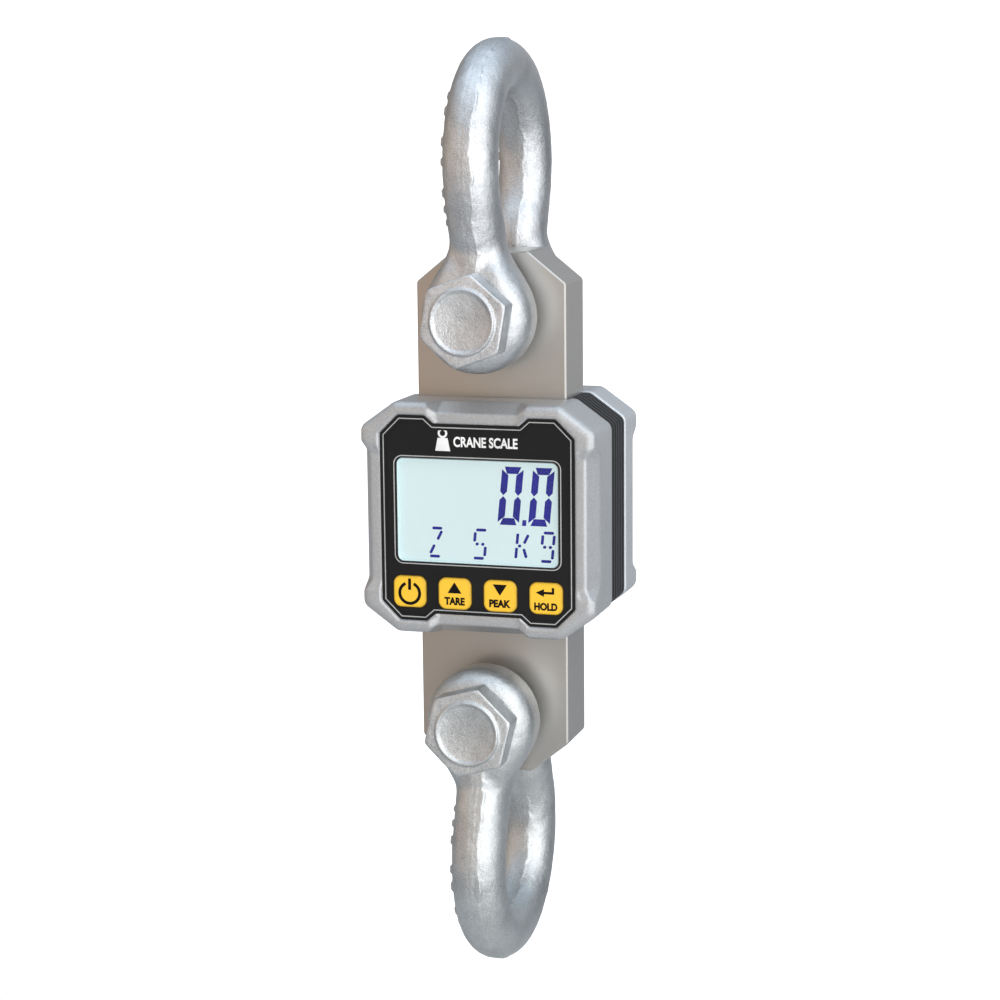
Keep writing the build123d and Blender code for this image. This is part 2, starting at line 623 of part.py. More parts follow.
PANEL_FRONT_Y = CAVITY_FRONT_Y + 0.1
BACKLIGHT_FRONT_Y = PANEL_FRONT_Y + PANEL_THICK
save(panel_block(PANEL_FRONT_Y, PANEL_THICK, PANEL_WIDTH, PANEL_HEIGHT), "display_panel")
save(panel_block(BACKLIGHT_FRONT_Y, BACKLIGHT_THICK, PANEL_WIDTH, PANEL_HEIGHT), "backlight")

FRAME_DEPTH = BOARD_FRONT_Y - PANEL_FRONT_Y
with BuildPart() as display_frame:
    with BuildSketch(facing_front(BOARD_FRONT_Y)):
        with Locations((0, WINDOW_RAISE)):
            RectangleRounded(PANEL_WIDTH + 2 * FRAME_RIM, PANEL_HEIGHT + 2 * FRAME_RIM, 1.4)
            Rectangle(PANEL_WIDTH + 0.1, PANEL_HEIGHT + 0.1, mode=Mode.SUBTRACT)
    extrude(amount=FRAME_DEPTH)
save(display_frame.part, "display_frame")

KEY_STEM_Y = BOARD_FRONT_Y - SWITCH_HEIGHT - SWITCH_PLUNGER[1] - KEY_TRAVEL - KEY_STEM_PLAY
for name, x in zip(KEY_NAMES, KEY_XS):
    with BuildPart() as key:
        with BuildSketch(facing_front(CAVITY_FRONT_Y)):
            with Locations((x, KEY_DROP)):
                RectangleRounded(KEY_WIDTH, KEY_HEIGHT, KEY_ROUND - KEY_GAP)
        extrude(amount=CAVITY_FRONT_Y - FACE_Y + KEY_PROUD)
        fillet(key.faces().sort_by(Axis.Y)[0].edges(), radius=KEY_TOP_ROUND)
        # flange that keeps the key behind the front wall
        with BuildSketch(facing_front(CAVITY_FRONT_Y + 0.1 + KEY_FLANGE)):
            with Locations((x, KEY_DROP)):
                RectangleRounded(KEY_WIDTH + KEY_FLANGE_MARGIN, KEY_HEIGHT - 2 * KEY_GAP, 2)
        extrude(amount=KEY_FLANGE)
        with BuildSketch(facing_front(KEY_STEM_Y)):
            with Locations((x, KEY_DROP)):
                Circle(KEY_STEM_RADIUS)
        extrude(amount=KEY_STEM_Y - CAVITY_FRONT_Y)
    save(key.part, name)

# ---------------------------------------------------------------- circuit board and its parts
with BuildPart() as circuit_board:
    with BuildSketch(facing_front(BOARD_REAR_Y)):
        board = Rectangle(BOARD_WIDTH, BOARD_HEIGHT)
        chamfer(board.vertices(), length=BOARD_CORNER)
        with Locations(*[(x * BOARD_POST_X, z * BOARD_POST_Z) for x, z in CORNER_SIGNS]):
            Circle(BOARD_SCREW_RADIUS + 0.1, mode=Mode.SUBTRACT)
    extrude(amount=BOARD_THICK)
save(circuit_board.part, "circuit_board")

with BuildPart() as key_switches:
    with BuildSketch(facing_front(BOARD_FRONT_Y)):
        with Locations(*[(x, KEY_DROP) for x in KEY_XS]):
            RectangleRounded(SWITCH_SIZE, SWITCH_SIZE, 0.6)
    extrude(amount=SWITCH_HEIGHT)
    with BuildSketch(facing_front(BOARD_FRONT_Y - SWITCH_HEIGHT)):
        with Locations(*[(x, KEY_DROP) for x in KEY_XS]):
            Circle(SWITCH_PLUNGER[0])
    extrude(amount=SWITCH_PLUNGER[1])
save(key_switches.part, "key_switches")

BOARD_ITEMS = (
    # name, x, z, width, height, depth
    ("processor_chip", -22, 18, 12, 12, 1.4),
    ("amplifier_chip", 8, 14, 8, 10, 1.6),
    ("link_connector", 0, -14, 12, 6, CONNECTOR_HEIGHT),
    ("battery_connector", 44, 8, 6, 9, CONNECTOR_HEIGHT),
)
for name, x, z, width, height, depth in BOARD_ITEMS:
    with BuildPart() as item:
        with BuildSketch(facing_front(BOARD_REAR_Y + depth)):
            with Locations((x, z)):
                RectangleRounded(width, height, 0.5)
        extrude(amount=depth)
    save(item.part, name)

with BuildPart() as buzzer:
    with BuildSketch(facing_front(BOARD_REAR_Y + BUZZER_HEIGHT)):
        with Locations(BUZZER_PLACE):
            Circle(BUZZER_RADIUS)
            Circle(BUZZER_HOLE_RADIUS, mode=Mode.SUBTRACT)
    extrude(amount=BUZZER_HEIGHT)
save(buzzer.part, "buzzer")

with BuildPart() as board_screws:
    with BuildSketch(facing_front(BOARD_REAR_Y)):
        with Locations(*[(x * BOARD_POST_X, z * BOARD_POST_Z) for x, z in CORNER_SIGNS]):
            Circle(BOARD_SCREW_RADIUS)
    extrude(amount=BOARD_SCREW_LENGTH)
    with BuildSketch(facing_front(BOARD_REAR_Y + BOARD_SCREW_HEAD[1])):
        with Locations(*[(x * BOARD_POST_X, z * BOARD_POST_Z) for x, z in CORNER_SIGNS]):
            Circle(BOARD_SCREW_HEAD[0])
    extrude(amount=BOARD_SCREW_HEAD[1])
save(board_screws.part, "board_screws")

# ---------------------------------------------------------------- seals, inserts, screws
for name, z_sign in (("link_seal_upper", 1), ("link_seal_lower", -1)):
    seal_z = Z_HOUSING + z_sign * (HALF_HEIGHT - WALL - SEAL_DROP)
    with BuildPart() as seal:
        with BuildSketch(Plane.XY.offset(seal_z)):
            RectangleRounded(LINK_WIDTH + 2 * SEAL_THICK, LINK_THICK + 2 * SEAL_THICK, 2)
            Rectangle(LINK_WIDTH, LINK_THICK, mode=Mode.SUBTRACT)
        extrude(amount=SEAL_HEIGHT / 2, both=True)
    save(seal.part, name)

with BuildPart() as threaded_inserts:
    with BuildSketch(facing_front(FRONT_SEAM_Y - BOSS_SETBACK)):
        with Locations(*[(x * SCREW_X, z * SCREW_Z) for x, z in CORNER_SIGNS]):
            Circle(INSERT_RADIUS)
            Circle(SCREW_RADIUS, mode=Mode.SUBTRACT)
    extrude(amount=INSERT_LENGTH)
save(threaded_inserts.part, "threaded_inserts")


def screw_group(places, seat_y, shank_radius, shank_length, head_radius, head_thick, socket):
    """Identical cap screws driven from the back, as separate solids of one node."""
    with BuildPart() as screws:
        with BuildSketch(facing_front(seat_y)):
            with Locations(*places):
                Circle(shank_radius)
        extrude(amount=shank_length)
        with BuildSketch(facing_front(seat_y + head_thick)):
            with Locations(*places):
                Circle(head_radius)
        extrude(amount=head_thick)
        rims = screws.faces().sort_by(Axis.Y)[-len(places):].edges()
        chamfer(rims, length=0.4)
        with BuildSketch(facing_front(seat_y + head_thick)):
            with Locations(*places):
                RegularPolygon(socket / 2, 6, major_radius=False)
        extrude(amount=head_thick * 0.6, mode=Mode.SUBTRACT)
    return screws.part


SCREW_SEAT_Y = REAR_FACE_Y - SCREW_HEAD_THICK - SCREW_HEAD_SINK
save(
    screw_group(
        [(x * SCREW_X, z * SCREW_Z) for x, z in CORNER_SIGNS],
        SCREW_SEAT_Y,
        SCREW_RADIUS,
        SCREW_SEAT_Y - FRONT_SEAM_Y + INSERT_LENGTH,
        SCREW_HEAD_RADIUS,
        SCREW_HEAD_THICK,
        SCREW_SOCKET,
    ),
    "housing_screws",
)

# ---------------------------------------------------------------- battery compartment
CELL_XS = [(i - (CELL_COUNT - 1) / 2) * CELL_PITCH for i in range(CELL_COUNT)]
CELL_Y = CAVITY_REAR_Y - 1.0 - CELL_RADIUS
TRAY_HALF_WIDTH = CELL_COUNT * CELL_PITCH / 2 - 0.2
TRAY_HALF_HEIGHT = CELL_LENGTH / 2 + 2.6
TRAY_REAR_Y = CAVITY_REAR_Y - 0.4
TRAY_FRONT_Y = CELL_Y - CELL_RADIUS - TRAY_WALL - 0.2

with BuildPart() as battery_tray:
    with BuildSketch(facing_front(TRAY_REAR_Y)):
        RectangleRounded(2 * (TRAY_HALF_WIDTH + TRAY_WALL), 2 * (TRAY_HALF_HEIGHT + TRAY_WALL), 2)
    extrude(amount=TRAY_REAR_Y - TRAY_FRONT_Y)
    with BuildSketch(facing_front(TRAY_REAR_Y)):
        Rectangle(2 * TRAY_HALF_WIDTH, 2 * TRAY_HALF_HEIGHT)
    extrude(amount=TRAY_REAR_Y - TRAY_FRONT_Y - TRAY_WALL, mode=Mode.SUBTRACT)
save(battery_tray.part, "battery_tray")

with BuildPart() as battery_cells:
    with BuildSketch(Plane.XY.offset(Z_HOUSING - CELL_LENGTH / 2)):
        with Locations(*[(x, CELL_Y) for x in CELL_XS]):
            Circle(CELL_RADIUS)
    extrude(amount=CELL_LENGTH - CELL_BUTTON_HEIGHT)
    chamfer(battery_cells.faces().filter_by(Axis.Z).edges(), length=0.5)
    with BuildSketch(Plane.XY.offset(Z_HOUSING + CELL_LENGTH / 2 - CELL_BUTTON_HEIGHT)):
        with Locations(*[(x, CELL_Y) for x in CELL_XS]):
            Circle(CELL_BUTTON_RADIUS)
    extrude(amount=CELL_BUTTON_HEIGHT)
save(battery_cells.part, "battery_cells")

with BuildPart() as battery_contacts:
    for z_sign in (1, -1):
        contact_z = Z_HOUSING + z_sign * (TRAY_HALF_HEIGHT - CONTACT_THICK / 2)
        with BuildSketch(Plane.XY.offset(contact_z)):
            with Locations(*[(x, CELL_Y) for x in CELL_XS]):
                RectangleRounded(CONTACT_SIZE, CONTACT_SIZE, 1)
        extrude(amount=CONTACT_THICK / 2, both=True)
        with BuildSketch(Plane.XY.offset(Z_HOUSING + z_sign * CELL_LENGTH / 2)):
            with Locations(*[(x, CELL_Y) for x in CELL_XS]):
                Circle(CELL_BUTTON_RADIUS - 0.1)
        extrude(amount=z_sign * (TRAY_HALF_HEIGHT - CELL_LENGTH / 2 - CONTACT_THICK))
save(battery_contacts.part, "battery_contacts")

COVER_REAR_Y = REAR_FACE_Y - COVER_SINK + COVER_THICK
with BuildPart() as battery_cover:
    with BuildSketch(facing_front(COVER_REAR_Y)):
        RectangleRounded(COVER_WIDTH, COVER_HEIGHT, COVER_ROUND)
    extrude(amount=COVER_THICK)
    chamfer(battery_cover.faces().sort_by(Axis.Y)[-1].edges(), length=COVER_EDGE)
    with BuildSketch(facing_front(COVER_REAR_Y)):
        with Locations(*COVER_SCREWS):
            Circle(COVER_SCREW_RADIUS)
    extrude(amount=COVER_THICK, mode=Mode.SUBTRACT)
    with BuildSketch(facing_front(COVER_REAR_Y)):
        with Locations(*COVER_SCREWS):
            Circle(COVER_SCREW_SINK)
    extrude(amount=COVER_THICK / 2, mode=Mode.SUBTRACT)
save(battery_cover.part, "battery_cover")

with BuildPart() as cover_gasket:
    with BuildSketch(facing_front(REAR_FACE_Y - COVER_SINK)):
        RectangleRounded(COVER_WIDTH - 0.6, COVER_HEIGHT - 0.6, COVER_ROUND)
        RectangleRounded(BATTERY_OPENING[0] + 2, BATTERY_OPENING[1] + 2, 3, mode=Mode.SUBTRACT)
        with Locations(*COVER_SCREWS):
            Circle(COVER_SCREW_RADIUS, mode=Mode.SUBTRACT)
    extrude(amount=GASKET_THICK)
save(cover_gasket.part, "cover_gasket")

save(
    screw_group(
        COVER_SCREWS,
        COVER_REAR_Y - COVER_THICK / 2,
        COVER_SCREW_RADIUS,
        COVER_SCREW_LENGTH,
        *COVER_SCREW_HEAD,
        COVER_SCREW_SOCKET,
    ),
    "cover_screws",
)


# ---------------------------------------------------------------- inner cables
def cable(points, radii, radius):
    """Round cable along straight runs joined by tangent arcs, through (x, y, z) points."""
    with BuildPart() as body:
        with BuildLine() as route:
            FilletPolyline(*[(x, y, Z_HOUSING + z) for x, y, z in points], radius=radii)
        with BuildSketch(Plane(origin=route.wire() @ 0, z_dir=route.wire() % 0)):
            Circle(radius)
        sweep(path=route.wire())
    return body.part


CONNECTOR_REAR_Y = BOARD_REAR_Y + CONNECTOR_HEIGHT
CABLE_RUN_Y = -LINK_THICK / 2 - 4.2
save(
    cable(
        [
            (0, -LINK_THICK / 2 + POCKET_DEPTH - 3, -HOUSING_RAISE),
            (0, CABLE_RUN_Y, -HOUSING_RAISE),
            (0, CABLE_RUN_Y, -14),
            (0, CONNECTOR_REAR_Y, -14),
        ],
        [4, 4],
        GAUGE_CABLE_RADIUS,
    ),
    "gauge_cable",
)
LEAD_Z = 8.0
LEAD_X = 44.0
save(
    cable(
        [
            (TRAY_HALF_WIDTH + TRAY_WALL, CELL_Y, LEAD_Z),
            (LEAD_X, CELL_Y, LEAD_Z),
            (LEAD_X, CONNECTOR_REAR_Y, LEAD_Z),
        ],
        [9],
        LEAD_RADIUS,
    ),
    "battery_leads",
)
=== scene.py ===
import math
from functools import partial

import bmesh
import bpy
import numpy as np
from mathutils import Matrix, Vector, noise


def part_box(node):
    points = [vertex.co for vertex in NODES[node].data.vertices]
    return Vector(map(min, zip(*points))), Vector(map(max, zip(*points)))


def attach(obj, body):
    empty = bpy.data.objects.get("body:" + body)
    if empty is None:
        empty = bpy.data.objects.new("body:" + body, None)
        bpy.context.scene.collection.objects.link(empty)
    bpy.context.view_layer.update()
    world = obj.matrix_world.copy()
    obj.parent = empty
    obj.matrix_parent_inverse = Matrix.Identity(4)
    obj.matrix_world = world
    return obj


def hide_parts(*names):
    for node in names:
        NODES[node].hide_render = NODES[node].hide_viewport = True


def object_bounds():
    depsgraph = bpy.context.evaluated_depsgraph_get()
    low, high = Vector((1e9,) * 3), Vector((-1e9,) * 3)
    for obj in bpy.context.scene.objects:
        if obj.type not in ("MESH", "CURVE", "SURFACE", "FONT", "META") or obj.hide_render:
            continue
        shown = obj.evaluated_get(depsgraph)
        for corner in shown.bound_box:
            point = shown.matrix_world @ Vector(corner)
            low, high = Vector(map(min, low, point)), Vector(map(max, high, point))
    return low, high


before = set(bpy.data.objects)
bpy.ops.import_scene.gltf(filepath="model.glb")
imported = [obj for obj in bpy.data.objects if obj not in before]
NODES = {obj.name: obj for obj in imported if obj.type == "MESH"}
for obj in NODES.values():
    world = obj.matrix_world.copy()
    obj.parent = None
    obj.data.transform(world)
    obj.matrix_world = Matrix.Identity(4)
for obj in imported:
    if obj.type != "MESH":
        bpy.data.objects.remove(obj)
CAD_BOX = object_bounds()
MM = 0.001

# ---------------- places from the frame
LINK_LOW, LINK_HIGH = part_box("load_link")
LINK_CENTRE = (LINK_LOW + LINK_HIGH) / 2
SHELL_LOW, SHELL_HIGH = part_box("front_shell")
HOUSING_Z = (SHELL_LOW.z + SHELL_HIGH.z) / 2
LABEL_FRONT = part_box("front_label")[0].y
PANEL_LOW, PANEL_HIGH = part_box("display_panel")
WINDOW_LOW, WINDOW_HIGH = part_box("display_window")
WINDOW_CENTRE = (WINDOW_LOW + WINDOW_HIGH) / 2

# ---------------- shackle dimensions, mm
# In the fields below, factors such as 0.78 on a slanted face bring it back to about a distance,
# and the last number of smooth_max and smooth_min is the width of a rounded edge or a fillet.
BAR_RADIUS = 12.5
CROWN_RADIUS = 43.5
CROWN_Z = 69.0  # centre of the crown arc above the pin axis
LEG_RADIUS = 53.0
NECK_RADIUS = 22.0
LEG_TURN = math.radians(33)
JAW_HALF = 22.0
EAR_OUTER = 47.0
EAR_RADIUS = 25.8
EAR_OUTER_ROUND = 11.0
EAR_INNER_ROUND = 7.0
BORE_RADIUS = 13.1
PIN_RADIUS = 13.0
THREAD_RADIUS = 12.0
THREAD_PITCH = 3.0
THREAD_DEPTH = 1.6
THREAD_TIP = 1.8  # chamfer on the end of the bolt
END_GAP = 0.3  # play between bolt head, ears and nut
HEAD_FLATS = 37.6
HEAD_THICK = 12.0
HEAD_TURN = {"upper": 20, "lower": 16}  # degrees
HEAD_SLOPE, HEAD_CORNERS = 0.8, 1.9  # chamfer that cuts the corners of the head
RING_RADIUS, RING_RISE = 15.2, 1.3  # raised ring on the head
DISH_RADIUS, DISH_EDGE, DISH_HOLLOW = 13.9, 0.9, 1.3  # dish inside the ring
NUT_FLATS = 36.0
NUT_THICK = 19.0
NUT_TURN = -4  # degrees
NUT_SLOPE, NUT_CORNERS = 1.56, 0.4  # chamfer that cuts the corners of the nut
NUT_MOUTH = 1.4  # chamfer at both ends of the nut's bore
NUT_END = EAR_OUTER + END_GAP + NUT_THICK
BOLT_END = NUT_END + 10.0
COTTER_Y = NUT_END + 4.4  # split pin's axis
COTTER_HOLE = 2.2
COTTER_WIRE = 0.95
COTTER_REACH = THREAD_RADIUS + 2.0  # the straight shank ends this far from the bolt's axis
EYE_RADIUS, EYE_RISE = 3.6, 4.4
FOOT_LENGTH, FOOT_LEAN = 13.0, math.radians(38)


# ================ material nodes
def node(tree, kind, inputs=None, **settings):
    """Add a shader node; inputs maps a socket name or number to a value or to another socket."""
    made = tree.nodes.new(kind)
    for key, value in settings.items():
        setattr(made, key, value)
    for key, value in (inputs or {}).items():
        if isinstance(value, bpy.types.NodeSocket):
            tree.links.new(value, made.inputs[key])
        else:
            made.inputs[key].default_value = value
    return made


def math_node(tree, operation, *values):
    """Result socket of a Math node."""
    return node(tree, "ShaderNodeMath", dict(enumerate(values)), operation=operation).outputs[0]


def ramp(tree, factor, *stops):
    """Colour ramp socket; each stop is (position, (r, g, b))."""
    made = node(tree, "ShaderNodeValToRGB", {0: factor})
    points = made.color_ramp.elements
    while len(points) < len(stops):
        points.new(0.5)
    for point, (position, colour) in zip(points, stops):
        point.position = position
        point.color = (*colour, 1)
    return made.outputs[0]


def spread(tree, factor, low, high):
    """Map a 0..1 socket to the range low..high."""
    ends = {"Value": factor, "To Min": low, "To Max": high}
    return node(tree, "ShaderNodeMapRange", ends).outputs[0]


def texture(tree, kind, scale, output=0, **inputs):
    """Socket of a Noise or Voronoi texture in object space; scale is features per metre."""
    place = node(tree, "ShaderNodeTexCoord").outputs["Object"]
    made = node(tree, f"ShaderNodeTex{kind}", {"Vector": place, "Scale": scale, **inputs})
    return made.outputs[output]


def stretched_noise(tree, scales, detail=3.0):
    """Noise factor with its own scale along each axis, for brushed or drawn surfaces."""
    place = node(tree, "ShaderNodeTexCoord").outputs["Object"]
    squeezed = node(tree, "ShaderNodeMapping", {"Vector": place, "Scale": scales}).outputs[0]
    inputs = {"Vector": squeezed, "Scale": 1.0, "Detail": detail}
    return node(tree, "ShaderNodeTexNoise", inputs).outputs[0]


def bump(tree, height, distance, strength=1.0, under=None):
    """Bump normal socket; distance is the height in metres of a full step."""
    inputs = {"Strength": strength, "Distance": distance, "Height": height}
    if under is not None:
        inputs["Normal"] = under
    return node(tree, "ShaderNodeBump", inputs).outputs[0]


def surface(name, slot, metallic=0.0, **inputs):
    """New material with one Principled node; returns (material, tree, bsdf)."""
    made = bpy.data.materials.new(name)
    made.use_nodes = True
    made["slot"] = slot
    bsdf = made.node_tree.nodes["Principled BSDF"]
    bsdf.inputs["Metallic"].default_value = metallic
    for key, value in inputs.items():
        bsdf.inputs[key.replace("_", " ")].default_value = value
    return made, made.node_tree, bsdf


def connect(tree, bsdf, **sockets):
    """Link sockets into the Principled node by input name."""
    for key, socket in sockets.items():
        tree.links.new(socket, bsdf.inputs[key.replace("_", " ")])


def galvanised(name, tint):
    """Hot-dip zinc on a rough forging: fine bright grain with faint clouding."""
    made, tree, bsdf = surface(name, "galvanised", metallic=1.0)
    cloud = texture(tree, "Noise", 45.0, Detail=5.0, Roughness=0.65)
    grain = texture(tree, "Noise", 2100.0, Detail=2.0, Roughness=0.6)
    tone = math_node(tree, "MULTIPLY_ADD", grain, 0.6, math_node(tree, "MULTIPLY", cloud, 0.4))
    dark, middle, light = (tuple(share * c for c in tint) for share in (0.64, 1.0, 1.26))
    colour = ramp(tree, tone, (0.34, dark), (0.50, middle), (0.66, light))
    pits = texture(tree, "Noise", 700.0, Detail=2.0)
    hammered = texture(tree, "Noise", 160.0, Detail=2.0)
    normal = bump(tree, hammered, 0.0005, 0.35)
    normal = bump(tree, pits, 0.00022, 0.5, normal)
    normal = bump(tree, grain, 0.00026, 0.7, normal)
    connect(tree, bsdf, Base_Color=colour, Roughness=spread(tree, tone, 0.30, 0.44), Normal=normal)
    return made


def nickel_link():
    """Satin nickel plate, ground along the link, with faint random streaks and a painted warm
    reflection that fades out to the right.
    """
    made, tree, bsdf = surface("satin_nickel", "nickel_steel", metallic=0.8)
    brush = stretched_noise(tree, (2600.0, 900.0, 160.0))
    streak = stretched_noise(tree, (90.0, 60.0, 12.0), 4.0)
    place = node(tree, "ShaderNodeTexCoord").outputs["Object"]
    across = node(tree, "ShaderNodeSeparateXYZ", {0: place}).outputs["X"]
    # painted reflection: object X across the link turns the colour from warm on the left to grey on
    # the right, standing in for a warm reflection, with random streaks mixed in
    width = {"Value": across, "From Min": LINK_LOW.x, "From Max": LINK_HIGH.x}
    side = node(tree, "ShaderNodeMapRange", width).outputs[0]
    streaks_and_painted_reflection = math_node(tree, "MULTIPLY_ADD", math_node(tree, "SUBTRACT", streak, 0.5), 0.5, side)
    colour = ramp(
        tree,
        streaks_and_painted_reflection,
        (0.0, (0.50, 0.43, 0.37)),
        (0.35, (0.50, 0.455, 0.40)),
        (0.8, (0.49, 0.475, 0.45)),
    )
    rough = spread(tree, brush, 0.26, 0.40)
    connect(tree, bsdf, Base_Color=colour, Roughness=rough, Normal=bump(tree, brush, 0.00004, 0.5))
    return made


def silver_paint(name, tint):
    """Fine metallic-flake silver paint on die-cast aluminium, with a semi-gloss clear coat."""
    coat = {"Coat_Weight": 0.5, "Coat_Roughness": 0.16}
    made, tree, bsdf = surface(name, "silver_paint", metallic=0.5, **coat)
    flake = texture(tree, "Voronoi", 3600.0, "Color")
    sparkle = node(tree, "ShaderNodeSeparateColor", {0: flake}).outputs[0]
    cloud = texture(tree, "Noise", 40.0, Detail=3.0)
    tone = math_node(tree, "MULTIPLY_ADD", sparkle, 0.7, math_node(tree, "MULTIPLY", cloud, 0.3))
    dark, light = tuple(0.84 * c for c in tint), tuple(1.14 * c for c in tint)
    colour = ramp(tree, tone, (0.2, dark), (0.5, tint), (0.82, light))
    peel = texture(tree, "Noise", 900.0, Detail=2.0)
    rough = spread(tree, sparkle, 0.36, 0.46)
    connect(tree, bsdf, Base_Color=colour, Roughness=rough, Normal=bump(tree, peel, 0.00004, 0.5))
    return made


def moulded(name, slot, colour, roughness, grain_scale=1400.0, depth=0.00005, **inputs):
    """Plastic, rubber or film with a fine moulded grain and a faint tone variation."""
    made, tree, bsdf = surface(name, slot, **inputs)
    cloud = texture(tree, "Noise", 90.0, Detail=3.0)
    low = tuple(0.86 * c for c in colour)
    high = tuple(min(1.0, 1.12 * c) for c in colour)
    grain = texture(tree, "Noise", grain_scale, Detail=2.0)
    connect(
        tree,
        bsdf,
        Base_Color=ramp(tree, cloud, (0.3, low), (0.7, high)),
        Roughness=spread(tree, grain, roughness - 0.05, roughness + 0.07),
        Normal=bump(tree, grain, depth, 0.5),
    )
    return made


def turned_metal(name, slot, colour):
    """Bright machined or plated metal with fine marks."""
    made, tree, bsdf = surface(name, slot, metallic=1.0)
    marks = stretched_noise(tree, (1500.0, 400.0, 1500.0))
    cloud = texture(tree, "Noise", 160.0, Detail=2.0)
    low = tuple(0.82 * c for c in colour)
    connect(
        tree,
        bsdf,
        Base_Color=ramp(tree, cloud, (0.3, low), (0.7, colour)),
        Roughness=spread(tree, marks, 0.22, 0.38),
        Normal=bump(tree, marks, 0.00003, 0.5),
    )
    return made


def edge_distance(tree, centre, half_width, half_height, corner):
    """Distance in metres inside a rounded rectangle of the XZ plane, as a socket."""
    place = node(tree, "ShaderNodeTexCoord").outputs["Object"]
    parts = node(tree, "ShaderNodeSeparateXYZ", {0: place}).outputs
    over = []
    sides = ((parts["X"], centre.x, half_width), (parts["Z"], centre.z, half_height))
    for socket, middle, half in sides:
        away = math_node(tree, "ABSOLUTE", math_node(tree, "SUBTRACT", socket, middle))
        past = math_node(tree, "SUBTRACT", away, half - corner)
        over.append(math_node(tree, "MAXIMUM", past, 0.0))
    squares = math_node(tree, "ADD", *[math_node(tree, "MULTIPLY", s, s) for s in over])
    return math_node(tree, "SUBTRACT", corner, math_node(tree, "SQRT", squares))


KEY_HALF_WIDTH, KEY_HALF_HEIGHT, KEY_CORNER = 7.95 * MM, 7.45 * MM, 3.8 * MM
KEY_RIM = 1.5 * MM  # the rim's tone fades out over this width


def amber_key(key):
    """Amber key cap with a deeper golden printed rim."""
    low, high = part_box(key)
    centre = (low + high) / 2
    made, tree, bsdf = surface(f"amber_{key}", "amber_key", Coat_Weight=0.15, Coat_Roughness=0.3)
    inside = edge_distance(tree, centre, KEY_HALF_WIDTH, KEY_HALF_HEIGHT, KEY_CORNER)
    rim = math_node(tree, "MULTIPLY", inside, 1 / KEY_RIM)
    cloud = texture(tree, "Noise", 300.0, Detail=2.0)
    wave = math_node(tree, "MULTIPLY", math_node(tree, "SUBTRACT", cloud, 0.5), 0.12)
    wavy = math_node(tree, "ADD", rim, wave)
    colour = ramp(
        tree,
        wavy,
        (0.0, (0.40, 0.22, 0.008)),
        (0.4, (0.78, 0.48, 0.02)),
        (0.9, (1.0, 0.58, 0.03)),
    )
    grain = texture(tree, "Noise", 1600.0, Detail=2.0)
    connect(
        tree,
        bsdf,
        Base_Color=colour,
        Roughness=spread(tree, grain, 0.42, 0.55),
        Normal=bump(tree, grain, 0.00004, 0.5),
    )
    return made


GLOW_HALF_WIDTH, GLOW_HALF_HEIGHT = 38.7 * MM, 24.3 * MM
GLOW_CORNER = 3.0 * MM  # also the width of the bluer edge


def lit_display():
    """Pale backlit liquid-crystal panel, with painted shade that makes it a little bluer and dimmer
    towards its edges.
    """
    made, tree, bsdf = surface("lit_display", "display", Roughness=0.35)
    centre = (PANEL_LOW + PANEL_HIGH) / 2
    inside = edge_distance(tree, centre, GLOW_HALF_WIDTH, GLOW_HALF_HEIGHT, GLOW_CORNER)
    near = math_node(tree, "MULTIPLY", inside, 1 / GLOW_CORNER)
    # painted shade: within the outer quarter of GLOW_CORNER the panel's colour turns darker and
    # bluer, standing in for shade at the edge of its recess
    glow = ramp(tree, near, (0.0, (0.47, 0.585, 0.60)), (0.25, (0.50, 0.605, 0.615)))
    cloud = texture(tree, "Noise", 18.0, Detail=1.0)
    shade = spread(tree, cloud, 0.97, 1.03)
    inputs = {0: glow, "Scale": shade}
    colour = node(tree, "ShaderNodeVectorMath", inputs, operation="SCALE").outputs[0]
    grain = texture(tree, "Noise", 3000.0, Detail=1.0)
    bsdf.inputs["Emission Strength"].default_value = 0.47
    normal = bump(tree, grain, 0.00001, 0.3)
    connect(tree, bsdf, Base_Color=colour, Emission_Color=colour, Normal=normal)
    return made


def clear_window():
    """Clear hard-coated window, nearly free of reflections."""
    made, tree, bsdf = surface("clear_window", "clear_window", Alpha=0.04, IOR=1.5)
    haze = texture(tree, "Noise", 40.0, Detail=2.0)
    bsdf.inputs["Base Color"].default_value = (0.22, 0.25, 0.26, 1)
    connect(tree, bsdf, Roughness=spread(tree, haze, 0.04, 0.10))
    return made


ZINC = {
    "upper": galvanised("galvanised_upper", (0.62, 0.635, 0.65)),
    "lower": galvanised("galvanised_lower", (0.60, 0.62, 0.625)),
}
NICKEL = nickel_link()
FRONT_PAINT = silver_paint("silver_paint_front", (0.475, 0.485, 0.495))
REAR_PAINT = silver_paint("silver_paint_rear", (0.57, 0.595, 0.62))
RUBBER = moulded("black_rubber", "black_rubber", (0.015, 0.016, 0.018), 0.46, 2200.0, 0.00010)
FILM_BLACK = (0.010, 0.010, 0.0105)
LABEL_FILM = moulded(
    "black_film", "label_black", FILM_BLACK, 0.42, 2600.0, 0.00002, Specular_IOR_Level=0.2
)
BLACK_PLASTIC = moulded("black_plastic", "black_plastic", (0.03, 0.03, 0.033), 0.5)
WHITE_PLASTIC = moulded("white_plastic", "white_plastic", (0.80, 0.81, 0.81), 0.4)
STRIPE_INK = moulded("stripe_ink", "label_black", (0.46, 0.47, 0.46), 0.4, 2600.0, 0.00001)
WHITE_INK = moulded("white_ink", "label_black", (0.90, 0.90, 0.89), 0.4, 2600.0, 0.00001)
BLACK_INK = moulded(
    "black_ink", "amber_key", (0.006, 0.0055, 0.005), 0.5, 2600.0, 0.00001, Specular_IOR_Level=0.1
)
SEGMENT_INK = moulded(
    "segment_ink", "display", (0.022, 0.020, 0.27), 0.5, 2600.0, 0.00001, Specular_IOR_Level=0.1
)
